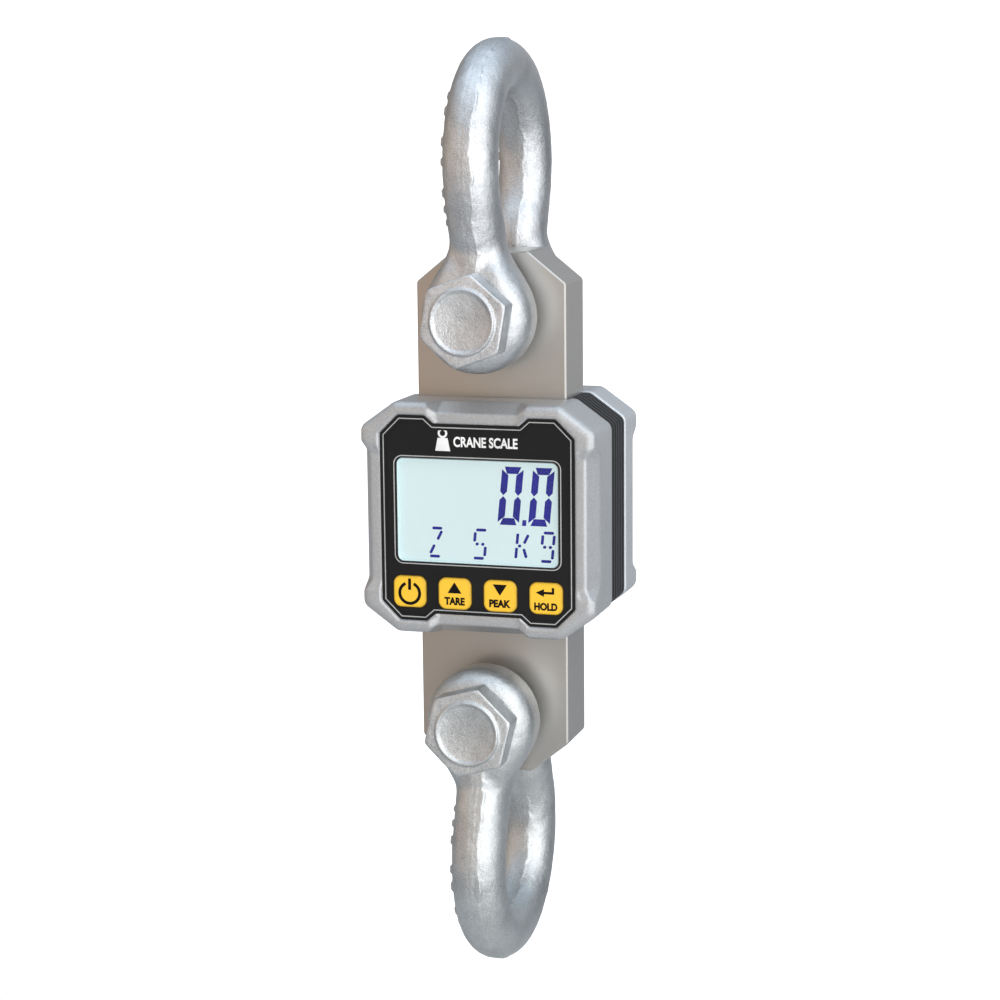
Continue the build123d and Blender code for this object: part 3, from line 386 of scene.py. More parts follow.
BOARD_GREEN = moulded("board_green", "board_green", (0.02, 0.14, 0.06), 0.35)
CELL_WRAP = moulded("cell_wrap", "cell_wrap", (0.10, 0.12, 0.17), 0.3)
CABLE_GREY = moulded("cable_grey", "cable_grey", (0.13, 0.13, 0.14), 0.55)
BRIGHT_STEEL = turned_metal("bright_steel", "bright_steel", (0.74, 0.74, 0.76))
BRASS = turned_metal("brass", "brass", (0.80, 0.60, 0.28))
GAUGE_FOIL = turned_metal("gauge_foil", "gauge_foil", (0.72, 0.42, 0.14))
DISPLAY = lit_display()
WINDOW = clear_window()


# ================ mesh helpers
def add_object(name, data):
    """New object in the scene."""
    made = bpy.data.objects.new(name, data)
    bpy.context.scene.collection.objects.link(made)
    return made


def new_piece(name, mesh, material, body, smooth=False):
    """Object for a mesh in row metres, riding on a CAD body."""
    made = add_object(name, mesh)
    mesh.materials.clear()
    mesh.materials.append(material)
    if smooth:
        mesh.shade_smooth()
    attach(made, body)
    return made


def curve_mesh(name, curve):
    """Mesh of a curve or text, whose own object doesn't stay."""
    holder = add_object(name, curve)
    bpy.context.view_layer.update()
    shape = holder.evaluated_get(bpy.context.evaluated_depsgraph_get())
    mesh = bpy.data.meshes.new_from_object(shape)
    bpy.data.objects.remove(holder)
    return mesh


def signed_area(points):
    """Area of a closed outline, positive when it runs counterclockwise."""
    following = points[1:] + points[:1]
    return sum(a[0] * b[1] - b[0] * a[1] for a, b in zip(points, following)) / 2


def inset(points, distance):
    """Closed outline moved inwards by distance, each edge staying parallel to itself."""
    if signed_area(points) < 0:
        points = points[::-1]
    result = []
    for i, here in enumerate(points):
        before, after = points[i - 1], points[(i + 1) % len(points)]
        into = Vector((here[0] - before[0], here[1] - before[1])).normalized()
        out = Vector((after[0] - here[0], after[1] - here[1])).normalized()
        normal_in, normal_out = Vector((-into.y, into.x)), Vector((-out.y, out.x))
        miter = (normal_in + normal_out) / max(0.2, 1 + normal_in.dot(normal_out))
        result.append((here[0] + miter.x * distance, here[1] + miter.y * distance))
    return result


def rounded_rectangle(width, height, corner, centre=(0.0, 0.0), steps=8):
    """Counterclockwise outline with round corners."""
    outline = []
    for quarter, (sx, sz) in enumerate(((1, 1), (-1, 1), (-1, -1), (1, -1))):
        cx = centre[0] + sx * (width / 2 - corner)
        cz = centre[1] + sz * (height / 2 - corner)
        for step in range(steps + 1):
            angle = math.pi / 2 * (quarter + step / steps)
            outline.append((cx + corner * math.cos(angle), cz + corner * math.sin(angle)))
    return outline


def arc(centre, radius, start, end, steps):
    """Points of a circular arc; angles in degrees."""
    angles = [math.radians(start + (end - start) * i / steps) for i in range(steps + 1)]
    return [(centre[0] + radius * math.cos(a), centre[1] + radius * math.sin(a)) for a in angles]


def plate_mesh(name, outlines, front_y, thick, rings=()):
    """Thin solids facing -Y. outlines are closed (x, z) loops in mm about the housing centre;
    rings are (outer, inner) pairs of loops with the same number of points."""
    bm = bmesh.new()

    def corner(point, y):
        return bm.verts.new((point[0] * MM, y, HOUSING_Z + point[1] * MM))

    def wall(loop_front, loop_rear):
        for i in range(len(loop_front)):
            j = (i + 1) % len(loop_front)
            bm.faces.new((loop_front[i], loop_front[j], loop_rear[j], loop_rear[i]))

    for outline in outlines:
        points = outline if signed_area(outline) > 0 else outline[::-1]
        front = [corner(p, front_y) for p in points]
        rear = [corner(p, front_y + thick) for p in points]
        bm.faces.new(front)
        bm.faces.new(rear[::-1])
        wall(front, rear)
    for outer, inner in rings:
        loops = ((loop, y) for y in (front_y, front_y + thick) for loop in (outer, inner))
        front_out, front_in, rear_out, rear_in = ([corner(p, y) for p in loop] for loop, y in loops)
        wall(front_in, front_out)
        wall(front_out, rear_out)
        wall(rear_out, rear_in)
        wall(rear_in, front_in)
    bmesh.ops.recalc_face_normals(bm, faces=bm.faces)
    mesh = bpy.data.meshes.new(name)
    bm.to_mesh(mesh)
    bm.free()
    return mesh


def plate_piece(name, material, front_y, thick, outlines=(), rings=(), body="scale_body"):
    """Thin solids facing -Y as one piece of a body; see plate_mesh."""
    return new_piece(name, plate_mesh(name, outlines, front_y, thick, rings), material, body)


def text_mesh(name, words, width, height, centre, front_y, thick, weight):
    """Flat plain lettering that faces -Y, fitted to a width and height in mm."""
    curve = bpy.data.curves.new(name, "FONT")
    curve.body = words
    curve.offset = weight
    curve.extrude = 0.5
    curve.resolution_u = 4
    mesh = curve_mesh(name, curve)
    points = np.array([v.co for v in mesh.vertices])
    low, high = points.min(0), points.max(0)
    share = (points - low) / (high - low)
    placed = np.stack(
        [
            (centre[0] + (share[:, 0] - 0.5) * width) * MM,
            front_y + (1 - share[:, 2]) * thick,
            HOUSING_Z + (centre[1] + (share[:, 1] - 0.5) * height) * MM,
        ],
        1,
    )
    mesh.vertices.foreach_set("co", placed.ravel())
    mesh.update()
    return mesh


PULLS = 3  # rounds in which a net's points are drawn onto the true surface


def surface_net(field, low, high, step):
    """Closed quad mesh of the surface field = 0 inside a box, in mm: (points, quads)."""
    low = np.array(low, float)
    counts = [int((top - bottom) / step) + 2 for bottom, top in zip(low, high)]
    index = np.indices(counts).reshape(3, -1).T
    value = field(low + index * step).reshape(counts)
    cells, crossings = [], []
    for axis in range(3):
        first = value[tuple(slice(None, -1) if a == axis else slice(None) for a in range(3))]
        second = value[tuple(slice(1, None) if a == axis else slice(None) for a in range(3))]
        edge = np.argwhere((first < 0) != (second < 0))
        start, end = first[tuple(edge.T)], second[tuple(edge.T)]
        point = edge.astype(float)
        point[:, axis] += start / (start - end)
        across, up = (np.eye(3, dtype=int)[(axis + turn) % 3] for turn in (1, 2))
        around = np.stack([edge, edge - across, edge - across - up, edge - up], 1)
        leaving = start >= 0
        around[leaving] = around[leaving][:, ::-1]
        cells.append(around)
        crossings.append(point)
    cells = np.concatenate(cells)
    crossings = np.repeat(np.concatenate(crossings), 4, 0)
    keys = np.ravel_multi_index(tuple(cells.reshape(-1, 3).T), counts)
    _, corner = np.unique(keys, return_inverse=True)
    corner = corner.ravel()
    shared = np.bincount(corner)
    points = np.stack([np.bincount(corner, crossings[:, a]) / shared for a in range(3)], 1)
    points = low + points * step
    for _ in range(PULLS):
        points -= pull(field, points, step)
    return points, corner.reshape(-1, 4)


def pull(field, points, step):
    """Move that brings points onto the surface field = 0, at most half a step long."""
    reach = step * 0.25
    rises = [field(points + d) - field(points - d) for d in np.eye(3) * reach]
    slope = np.stack(rises, 1) / (2 * reach)
    size = np.maximum((slope**2).sum(1), 0.05)
    move = slope * (field(points) / size)[:, None]
    length = np.linalg.norm(move, axis=1)
    return move * np.minimum(1, step * 0.5 / np.maximum(length, 1e-9))[:, None]


def smooth_max(a, b, reach):
    """Larger of two fields, with the edge between them rounded over reach mm."""
    near = np.maximum(reach - np.abs(a - b), 0) / reach
    return np.maximum(a, b) + near * near * reach / 4


def smooth_min(a, b, reach):
    """Smaller of two fields, with a fillet over reach mm."""
    return -smooth_max(-a, -b, reach)


DENT_SCALE = 0.16  # dents per mm
TRUE_HALF = JAW_HALF + 0.4  # no dents nearer to the middle than this, so the link keeps its room


def implicit_mesh(name, field, box, step, level_z, up, dents, seed):
    """Mesh of an implicit shape, set at height level_z (mm) and turned over when up is -1, with
    shallow hammered dents up to dents mm; seed varies them."""
    points, quads = surface_net(field, *box, step)
    if up < 0:
        quads = quads[:, ::-1]
    placed = (points * (1, 1, up) + (0, 0, level_z)) * MM
    mesh = bpy.data.meshes.new(name)
    mesh.from_pydata(placed.tolist(), [], quads.tolist())
    mesh.update()
    normals = np.zeros(len(points) * 3)
    mesh.vertices.foreach_get("normal", normals)
    aside = Vector((seed, 0, 0))
    heights = [noise.fractal(Vector(p) * DENT_SCALE + aside, 0.8, 2.1, 3) for p in points.tolist()]
    lift = np.array(heights) * dents * MM * (np.abs(points[:, 1]) > TRUE_HALF)
    placed += normals.reshape(-1, 3) * lift[:, None]
    mesh.vertices.foreach_set("co", placed.ravel())
    mesh.update()
    return mesh


# ================ shackles
def ripple(run, *waves):
    """Irregular wandering along a length: the sum of (amplitude, wavelength, phase) sines."""
    return sum(a * np.sin(2 * math.pi * run / length + phase) for a, length, phase in waves)


def bow_coordinates(y, z):
    """(outward offset from the bar's centre line, length along it from the crown), y >= 0."""
    leg_cy = CROWN_RADIUS - LEG_RADIUS
    neck_cy = leg_cy + (LEG_RADIUS + NECK_RADIUS) * math.cos(LEG_TURN)
    neck_cz = CROWN_Z - (LEG_RADIUS + NECK_RADIUS) * math.sin(LEG_TURN)
    leg_start = CROWN_RADIUS * math.pi / 2
    neck_start = leg_start + LEG_RADIUS * LEG_TURN
    stub_start = neck_start + NECK_RADIUS * LEG_TURN
    leg_angle = np.arctan2(CROWN_Z - z, y - leg_cy)
    neck_angle = np.arctan2(z - neck_cz, neck_cy - y)
    where = [z >= CROWN_Z, leg_angle <= LEG_TURN, z >= neck_cz]
    offset = np.select(
        where,
        [
            np.hypot(y, z - CROWN_Z) - CROWN_RADIUS,
            np.hypot(y - leg_cy, z - CROWN_Z) - LEG_RADIUS,
            NECK_RADIUS - np.hypot(y - neck_cy, z - neck_cz),
        ],
        y - (neck_cy - NECK_RADIUS),
    )
    run = np.select(
        where,
        [
            np.arctan2(y, z - CROWN_Z) * CROWN_RADIUS,
            leg_start + leg_angle * LEG_RADIUS,
            neck_start + (LEG_TURN - neck_angle) * NECK_RADIUS,
        ],
        stub_start + neck_cz - z,
    )
    return offset, run


# flats that trimming the flash left on the bar, mm from its centre line
LAND_LEFT, LAND_RIGHT_OUTSIDE, LAND_RIGHT_INSIDE = -1.0, 4.2, 3.4
LAND_DEEP = 6.0  # the flats reach this near to the bar's centre line
GROOVE_DEPTH, GROOVE_WIDTH = 0.14, 0.6  # shallow line along the left edge of a flat
STEP_ROUND = 0.9  # rounding of the torn step on its right
LEG_SHIFT = 9  # each leg's irregular lines run this much ahead of or behind the crown's
# the legs thicken outwards below a height above the pin axis, to meet the ears
SWELL, SWELL_BELOW, SWELL_FADE = 3.1, 38, 12
SWELL_OUTSIDE, SWELL_OUTSIDE_FADE = 2, 6
# raised bars on the legs: (distance along the bar from the crown, length)
MARKS = ((37, 4.2), (45, 4.6), (59, 4.8), (67.5, 4.4), (81, 4.8), (88.5, 4.0), (95, 3.6))
MARK_RISE, MARK_HALF_WIDTH = 1.1, 3.6
MARK_END_SLOPE, MARK_SIDE_SLOPE = 0.9, 1.0
# fillet between bar and ear: its least size, and what it gains beside the middle of the bar
FILLET, FILLET_GAIN, FILLET_FROM, FILLET_FADE = 4, 9, 9, 5
SEAT_CURVE, SEAT_FROM = 0.03, 20  # the ear's flat face runs out into the leg above this height
JAW_MARGIN = 0.8  # the gap between the ears is cleared this far beyond their rims


def soft_gate(value, reach):
    """0 to 1 as value goes from -reach to reach."""
    share = np.clip((value / reach + 1) / 2, 0, 1)
    return share * share * (3 - 2 * share)


def bow_field(points, phase):
    """Forged bow, pin axis at the origin and crown up; phase varies its irregular lines."""
    x, z = points[:, 0], points[:, 2]
    y = np.abs(points[:, 1])
    offset, run = bow_coordinates(y, z)
    below = soft_gate(SWELL_BELOW - z, SWELL_FADE)
    swelled = offset - SWELL * below * soft_gate(offset - SWELL_OUTSIDE, SWELL_OUTSIDE_FADE)
    bar = np.hypot(x, swelled) - BAR_RADIUS
    ragged = run + LEG_SHIFT * np.sign(points[:, 1])
    waves = ((0.5, 31, phase), (0.3, 12.5, 2 * phase), (0.14, 5.9, 3 * phase), (0.06, 3.4, phase))
    wander = ripple(ragged, *waves)
    level = math.sqrt(BAR_RADIUS**2 - LAND_LEFT**2)
    for depth, right in ((swelled, LAND_RIGHT_OUTSIDE), (-swelled, LAND_RIGHT_INSIDE)):
        # a flat that leaves the round bar on its left and ends in a torn step on its right
        flat = smooth_max(depth - level, x - right - wander, STEP_ROUND)
        flat = np.maximum(flat, np.maximum(LAND_LEFT - x, LAND_DEEP - depth))
        groove = GROOVE_DEPTH * np.exp(-(((x - LAND_LEFT + 0.4 * wander) / GROOVE_WIDTH) ** 2))
        bar = np.minimum(bar, flat) + np.where(depth > LAND_DEEP, groove, 0)
    # raised bars on the left side of both legs
    for start, length in MARKS:
        along = np.clip((length / 2 - np.abs(run - start)) / MARK_END_SLOPE, 0, 1)
        across = np.clip((MARK_HALF_WIDTH - np.abs(offset)) / MARK_SIDE_SLOPE, 0, 1)
        bar = bar - MARK_RISE * np.where(x < 0, along * across, 0)
    bar = np.maximum(bar, BORE_RADIUS - 1 - z)
    from_axis = np.hypot(x, z)
    fillet = FILLET + FILLET_GAIN * soft_gate(np.abs(x) - FILLET_FROM, FILLET_FADE)
    shape = smooth_min(bar, ear_field(y, from_axis), fillet)
    seat = y - EAR_OUTER - SEAT_CURVE * np.maximum(z - SEAT_FROM, 0) ** 2
    shape = smooth_max(shape, seat, 1.5)
    jaw = np.maximum(y - JAW_HALF, from_axis - EAR_RADIUS - JAW_MARGIN)
    shape = np.maximum(shape, -jaw)
    return smooth_max(shape, BORE_RADIUS - from_axis, 0.8)


def ear_field(y, from_axis):
    """Rounded disc of an ear: larger round outside, smaller round inside."""
    middle, half = (JAW_HALF + EAR_OUTER) / 2, (EAR_OUTER - JAW_HALF) / 2
    round_off = np.where(y > middle, EAR_OUTER_ROUND, EAR_INNER_ROUND)
    across = np.abs(y - middle) - half + round_off
    out = from_axis - EAR_RADIUS + round_off
    corner = np.hypot(np.maximum(across, 0), np.maximum(out, 0))
    return corner + np.minimum(np.maximum(across, out), 0) - round_off


def hexagon_field(x, z, flats, turn, reach):
    """Hexagonal prism along Y with a corner at turn degrees above +X."""
    result = None
    for k in range(3):
        angle = math.radians(turn + 30 + 60 * k)
        flat = np.abs(x * math.cos(angle) + z * math.sin(angle)) - flats / 2
        result = flat if result is None else smooth_max(result, flat, reach)
    return result


def thread_field(x, y, z):
    """Endless threaded rod along Y: its radius less a triangular groove that winds round it."""
    turns = y / THREAD_PITCH - np.arctan2(z, x) / (2 * math.pi)
    groove = 2 * np.abs(turns - np.round(turns))
    return (np.hypot(x, z) - THREAD_RADIUS + THREAD_DEPTH * groove) * 0.8


def pin_field(points, turn):
    """Hexagon-headed bolt along Y: dished and ringed head, plain shank, thread, cotter hole."""
    x, y, z = points.T
    r = np.hypot(x, z)
    seat = -EAR_OUTER - END_GAP
    face = seat - HEAD_THICK
    head = hexagon_field(x, z, HEAD_FLATS, turn, 0.7)
    chamfer = (r - HEAD_FLATS / 2 - HEAD_CORNERS - HEAD_SLOPE * (y - face)) * 0.78
    ends = np.abs(y - (seat + face) / 2) - HEAD_THICK / 2
    head = smooth_max(smooth_max(head, chamfer, 0.7), ends, 0.9)
    ring = smooth_max(r - RING_RADIUS, np.maximum(face - RING_RISE - y, y - face - 2), 1.2)
    bowl = DISH_EDGE + DISH_HOLLOW * np.clip(1 - (r / DISH_RADIUS) ** 2, 0, 1)
    dish = smooth_max(r - DISH_RADIUS, y - face + RING_RISE - bowl, 1.6)
    head = smooth_max(smooth_min(head, ring, 0.7), -dish, 0.8)
    shank = np.maximum(r - PIN_RADIUS, np.maximum(seat - 1 - y, y - EAR_OUTER))
    rod = np.maximum(thread_field(x, y, z), np.maximum(EAR_OUTER - 1 - y, y - BOLT_END))
    rod = smooth_max(rod, (r - THREAD_RADIUS + y - BOLT_END + THREAD_TIP) * 0.7, 0.4)
    body = np.minimum(np.minimum(head, shank), rod)
    return np.maximum(body, COTTER_HOLE - np.hypot(x, y - COTTER_Y))


def nut_field(points):
    """Hexagon nut, both faces chamfered, bored for the thread."""
    x, y, z = points.T
    r = np.hypot(x, z)
    beyond = np.abs(y - NUT_END + NUT_THICK / 2) - NUT_THICK / 2
    body = hexagon_field(x, z, NUT_FLATS, NUT_TURN, 1.0)
    cone = (r - NUT_FLATS / 2 - NUT_CORNERS + beyond * NUT_SLOPE) * 0.54
    body = smooth_max(smooth_max(body, cone, 0.8), beyond, 0.8)
    bore = THREAD_RADIUS + 0.05 + np.maximum(beyond + NUT_MOUTH, 0)
    return np.maximum(body, bore - r)


def cotter_mesh(name, pin_z):
    """Split pin bent from one wire: open foot, leg, eye, leg, open foot."""
    half = []
    for i in range(7):
        left = 1 - i / 6
        lean_x, lean_z = math.sin(FOOT_LEAN * left), math.cos(FOOT_LEAN * left)
        run = FOOT_LENGTH * left
        half.append((COTTER_WIRE + run * lean_x, -COTTER_REACH - run * lean_z))
    half += [(COTTER_WIRE, -COTTER_REACH + 2 * COTTER_REACH * i / 6) for i in range(1, 6)]
    half += arc((0, COTTER_REACH + EYE_RISE), EYE_RADIUS, -72, 88, 14)
    route = half + [(-x, z) for x, z in reversed(half)]
    curve = bpy.data.curves.new(name, "CURVE")
    curve.dimensions = "3D"
    spline = curve.splines.new("NURBS")
    spline.points.add(len(route) - 1)
    for point, (x, z) in zip(spline.points, route):
        point.co = (x * MM, COTTER_Y * MM, (pin_z + z) * MM, 1)
    spline.order_u = 3
    spline.use_endpoint_u = True
    curve.resolution_u = 3
    curve.bevel_depth = COTTER_WIRE * MM
    curve.bevel_resolution = 4
    curve.use_fill_caps = True
    return curve_mesh(name, curve)


# boxes that hold the implicit shapes, mm about the pin axis
BOW_BOX = ((-28, -60, -28), (28, 60, 129))
BOLT_BOX = ((-24, -64, -24), (24, 80, 24))
NUT_BOX = ((-23, 44, -23), (23, 70, 23))


def make_shackle(level, up, phase):
    """Detailed bow, bolt, nut and split pin of one level."""
    low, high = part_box(f"{level}_nut")
    pin_z = (low.z + high.z) / 2 / MM

    def forge(part, body, field, box, step, side=1, **relief):
        name = f"forged_{level}_{part}"
        mesh = implicit_mesh(name, field, box, step, pin_z, side, **relief)
        return new_piece(name, mesh, ZINC[level], f"{level}_{body}", smooth=True)

    field = partial(bow_field, phase=phase)
    bow = forge("bow", "shackle", field, BOW_BOX, BOW_STEP, up, dents=0.16, seed=phase)
    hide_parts(f"{level}_bow")
    field = partial(pin_field, turn=HEAD_TURN[level])
    bolt = forge("bolt", "pin_set", field, BOLT_BOX, PIN_STEP, dents=0.10, seed=phase + 7)
    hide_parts(f"{level}_pin")
    nut = forge("nut", "pin_set", nut_field, NUT_BOX, PIN_STEP, dents=0.08, seed=phase + 11)
    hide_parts(f"{level}_nut")
    name = f"bent_{level}_cotter"
    cotter = new_piece(name, cotter_mesh(name, pin_z), BRIGHT_STEEL, f"{level}_pin_set", smooth=True)
    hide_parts(f"{level}_cotter")


# grid steps in mm; a finer BOW_STEP takes the bows past 200,000 faces
BOW_STEP = 0.69
PIN_STEP = 0.5
make_shackle("upper", up=1, phase=0.7)
make_shackle("lower", up=-1, phase=2.9)


# ================ CAD pieces that stay
SHELL_VOXEL = 0.75 * MM


def soften(name):
    """Round off the crisp edges of a CAD node with modifiers, without touching its mesh."""
    piece = NODES[name]
    remesh = piece.modifiers.new("remesh", "REMESH")
    remesh.mode = "VOXEL"
    remesh.voxel_size = SHELL_VOXEL
    remesh.use_smooth_shade = True
    smooth = piece.modifiers.new("smooth", "SMOOTH")
    smooth.factor = 0.5
    smooth.iterations = 3


def finish_nodes(material, *names):
    """Give CAD nodes their material."""
    for name in names:
        slots = NODES[name].data.materials
        slots.clear()
        slots.append(material)


finish_nodes(NICKEL, "load_link", "front_pocket_cover", "rear_pocket_cover")
finish_nodes(FRONT_PAINT, "front_shell")
finish_nodes(REAR_PAINT, "rear_shell", "battery_cover")
finish_nodes(RUBBER, "side_band_left", "side_band_right", "cover_gasket")
finish_nodes(RUBBER, "link_seal_upper", "link_seal_lower")
finish_nodes(LABEL_FILM, "front_label")
finish_nodes(WINDOW, "display_window")
finish_nodes(DISPLAY, "display_panel")
finish_nodes(WHITE_PLASTIC, "backlight")
finish_nodes(
    BLACK_PLASTIC,
    "display_frame",
    "key_switches",
    "processor_chip",
    "amplifier_chip",
    "link_connector",
    "battery_connector",
    "buzzer",
    "battery_tray",
)
finish_nodes(BOARD_GREEN, "circuit_board")
finish_nodes(GAUGE_FOIL, "strain_gauges")
finish_nodes(CELL_WRAP, "battery_cells")
finish_nodes(CABLE_GREY, "gauge_cable", "battery_leads")
finish_nodes(BRIGHT_STEEL, "board_screws", "housing_screws", "cover_screws", "battery_contacts")
finish_nodes(BRASS, "threaded_inserts")
for shell in ("front_shell", "rear_shell"):
    soften(shell)
for key in ("key_power", "key_tare", "key_peak", "key_hold"):
    finish_nodes(amber_key(key), key)


# ================ printed label, mm
LABEL_HALF_WIDTH, LABEL_HALF_HEIGHT = 46.4, 48.0
LABEL_CORNER = 8.8
LABEL_NOTCH_INNER, LABEL_NOTCH_OUTER, LABEL_NOTCH_DEPTH = 20.4, 24.6, 3.7
BORDER_WIDTH = 3.0
STRIPE_INSETS = (1.5, 1.95)  # both edges of the pinstripe, in from the label's edge
WINDOW_STRIPE, WINDOW_STRIPE_WIDTH = (80.0, 50.7, 4.2), 0.45  # width, height and corner
PRINT_THICK = 0.05 * MM
BORDER_RISE = 0.3 * MM  # embossed border of the label
WINDOW_MIDDLE = (0, (WINDOW_CENTRE.z - HOUSING_Z) / MM)
# pictogram of a hanging weight: tapered block and open ring
WEIGHT_OUTLINE = [(-19.6, 31.8), (-12.4, 31.8), (-13.6, 37.8), (-18.4, 37.8)]
RING_CENTRE, RING_OUTER, RING_INNER, RING_TURN = (-16.0, 40.0), 2.3, 1.3, 345
TITLE_WIDTH, TITLE_HEIGHT, TITLE_CENTRE, TITLE_WEIGHT = 30.5, 4.8, (4.4, 36.2), 0.030


def label_outline():
    """Outline of the label with its two notches, counterclockwise, mm."""
    w, h = LABEL_HALF_WIDTH, LABEL_HALF_HEIGHT
    quarter = [
        (LABEL_NOTCH_INNER, h - LABEL_NOTCH_DEPTH),
        (LABEL_NOTCH_OUTER, h),
        (w - LABEL_CORNER, h),
        (w, h - LABEL_CORNER),
    ]
    right = quarter + [(x, -z) for x, z in reversed(quarter)]
    return (right + [(-x, z) for x, z in reversed(right)])[::-1]


def make_label_print():
    """Raised border, pinstripes round the label and the window, and a plain maker-free title."""
    outline = label_outline()
    front = LABEL_FRONT - PRINT_THICK
    raised = LABEL_FRONT - BORDER_RISE
    rings = [(outline, inset(outline, BORDER_WIDTH))]
    plate_piece("label_border", LABEL_FILM, raised, BORDER_RISE, rings=rings)
    rings = [tuple(inset(outline, edge) for edge in STRIPE_INSETS)]
    plate_piece("label_stripe", STRIPE_INK, raised - PRINT_THICK, PRINT_THICK, rings=rings)
    window = rounded_rectangle(*WINDOW_STRIPE, WINDOW_MIDDLE)
    rings = [(window, inset(window, WINDOW_STRIPE_WIDTH))]
    plate_piece("window_stripe", STRIPE_INK, front, PRINT_THICK, rings=rings)
    rings = [tuple(arc(RING_CENTRE, edge, 0, RING_TURN, 23) for edge in (RING_OUTER, RING_INNER))]
    plate_piece("title_emblem", WHITE_INK, front, PRINT_THICK, [WEIGHT_OUTLINE], rings)
    place = (TITLE_WIDTH, TITLE_HEIGHT, TITLE_CENTRE, front, PRINT_THICK, TITLE_WEIGHT)
    title = text_mesh("title_words", "CRANE SCALE", *place)
    new_piece("title_words", title, WHITE_INK, "scale_body")


DISPLAY_EDGE = (77.2, 48.4, 3.1)  # width, height and corner of the visible display
MASK_FRONT, MASK_THICK, MASK_WIDTH = WINDOW_LOW.y + 0.02 * MM, 0.08 * MM, 0.22
# painted light: the liner is a thin tube with the display's glowing material, between window and
# panel, where the recess walls would be in shade
LINER_FRONT, LINER_REAR, LINER_WIDTH = WINDOW_LOW.y + 0.12 * MM, PANEL_LOW.y - 0.02 * MM, 0.12
SLANT = 0.10  # of the digits and signs, across per height
DIGIT_LEFTS, DIGIT_LOW = (8.6, 23.2), -1.9
DIGIT_WIDTH, DIGIT_HEIGHT, DIGIT_STROKE = 10.5, 27.2, 3.5
DIGIT_CLIP, DIGIT_GAP = 1.1, 0.13  # clipped outer corners, and what every segment is inset by
POINT_LEFT, POINT_OUTLINE = 20.5, [(0, 0), (1.9, 0), (1.9, 2.7), (0, 2.7)]
SIGN_LEFTS, SIGN_LOW = {"Z": -24.2, "S": -3.0, "K": 17.3, "G": 29.2}, -17.9
SIGN_WIDTH, SIGN_HEIGHT, SIGN_STROKE = 5.4, 13.2, 1.35


def make_display():
    """Dark outline of the display area, a glowing liner that paints light over the shaded walls of
    the recess, the digits and the small signs.
    """
    edge = rounded_rectangle(*DISPLAY_EDGE, WINDOW_MIDDLE)
    rings = [(edge, inset(edge, MASK_WIDTH))]
    plate_piece("display_mask", BLACK_PLASTIC, MASK_FRONT, MASK_THICK, rings=rings)
    # painted light: this ring glows like the display to cover the shade on the walls of the recess
    rings = [(edge, inset(edge, LINER_WIDTH))]
    plate_piece("painted_glow_liner", DISPLAY, LINER_FRONT, LINER_REAR - LINER_FRONT, rings=rings)
    segments = []
    for left in DIGIT_LEFTS:
        segments += big_zero(left)
    segments.append(lean(POINT_OUTLINE, POINT_LEFT, DIGIT_LOW))
    for sign, left in SIGN_LEFTS.items():
        segments += small_sign(sign, left)
    front = PANEL_LOW.y - PRINT_THICK
    plate_piece("display_segments", SEGMENT_INK, front, PRINT_THICK, segments)


def lean(points, left, low):
    """Shift an outline into place and slant it as display digits are."""
    return [(left + x + SLANT * z, low + z) for x, z in points]


def big_zero(left):
    """Six thick bevelled segments of a nought."""
    w, h, t, c, m = DIGIT_WIDTH, DIGIT_HEIGHT, DIGIT_STROKE, DIGIT_CLIP, DIGIT_HEIGHT / 2
    top = [(c, h), (w - c, h), (w - t * 0.72, h - t), (t * 0.72, h - t)]
    upper_left = [(0, h - c), (0, m + t * 0.55), (t / 2, m), (t, m + t * 0.55), (t, h - t * 1.15)]
    parts = [top, upper_left, [(w - x, z) for x, z in upper_left]]
    parts += [[(x, h - z) for x, z in part] for part in parts]
    return [lean(inset(part, DIGIT_GAP), left, DIGIT_LOW) for part in parts]


# strokes of the small signs, as pairs of points in a cell one wide and one high
TOP, BOTTOM = ((0, 1), (1, 1)), ((0, 0), (1, 0))
UPPER_LEFT, UPPER_RIGHT = ((0, 0.94), (0, 0.56)), ((1, 0.94), (1, 0.56))
LOWER_RIGHT = ((1, 0.44), (1, 0.06))
MIDDLE_LEFT, MIDDLE_RIGHT = ((0.05, 0.5), (0.45, 0.5)), ((0.55, 0.5), (0.95, 0.5))
UPPER_SLOPE = ((0.95, 0.93), (0.6, 0.57))
SIGNS = {
    "Z": (TOP, UPPER_SLOPE, ((0.4, 0.43), (0.05, 0.07)), BOTTOM),
    "S": (TOP, UPPER_LEFT, MIDDLE_LEFT, MIDDLE_RIGHT, LOWER_RIGHT, BOTTOM),
    "K": (
        ((0, 0.96), (0, 0.54)),
        ((0, 0.46), (0, 0.04)),
        MIDDLE_LEFT,
        UPPER_SLOPE,
        ((0.6, 0.43), (0.95, 0.07)),
    ),
    "G": (TOP, UPPER_LEFT, UPPER_RIGHT, MIDDLE_LEFT, MIDDLE_RIGHT, LOWER_RIGHT, BOTTOM),
}


def small_sign(sign, left):
    """Thin pointed strokes of one small sign."""
    result = []
    for start, end in SIGNS[sign]:
        a = Vector((start[0] * SIGN_WIDTH, start[1] * SIGN_HEIGHT))
        b = Vector((end[0] * SIGN_WIDTH, end[1] * SIGN_HEIGHT))
        along = (b - a).normalized() * SIGN_STROKE * 0.5
        aside = Vector((-along.y, along.x))
        a, b = a + along * 0.9, b - along * 0.9
        outline = [a - along * 0.6, a + aside, b + aside, b + along * 0.6, b - aside, a - aside]
        result.append(lean([tuple(p) for p in outline], left, SIGN_LOW))
    return result


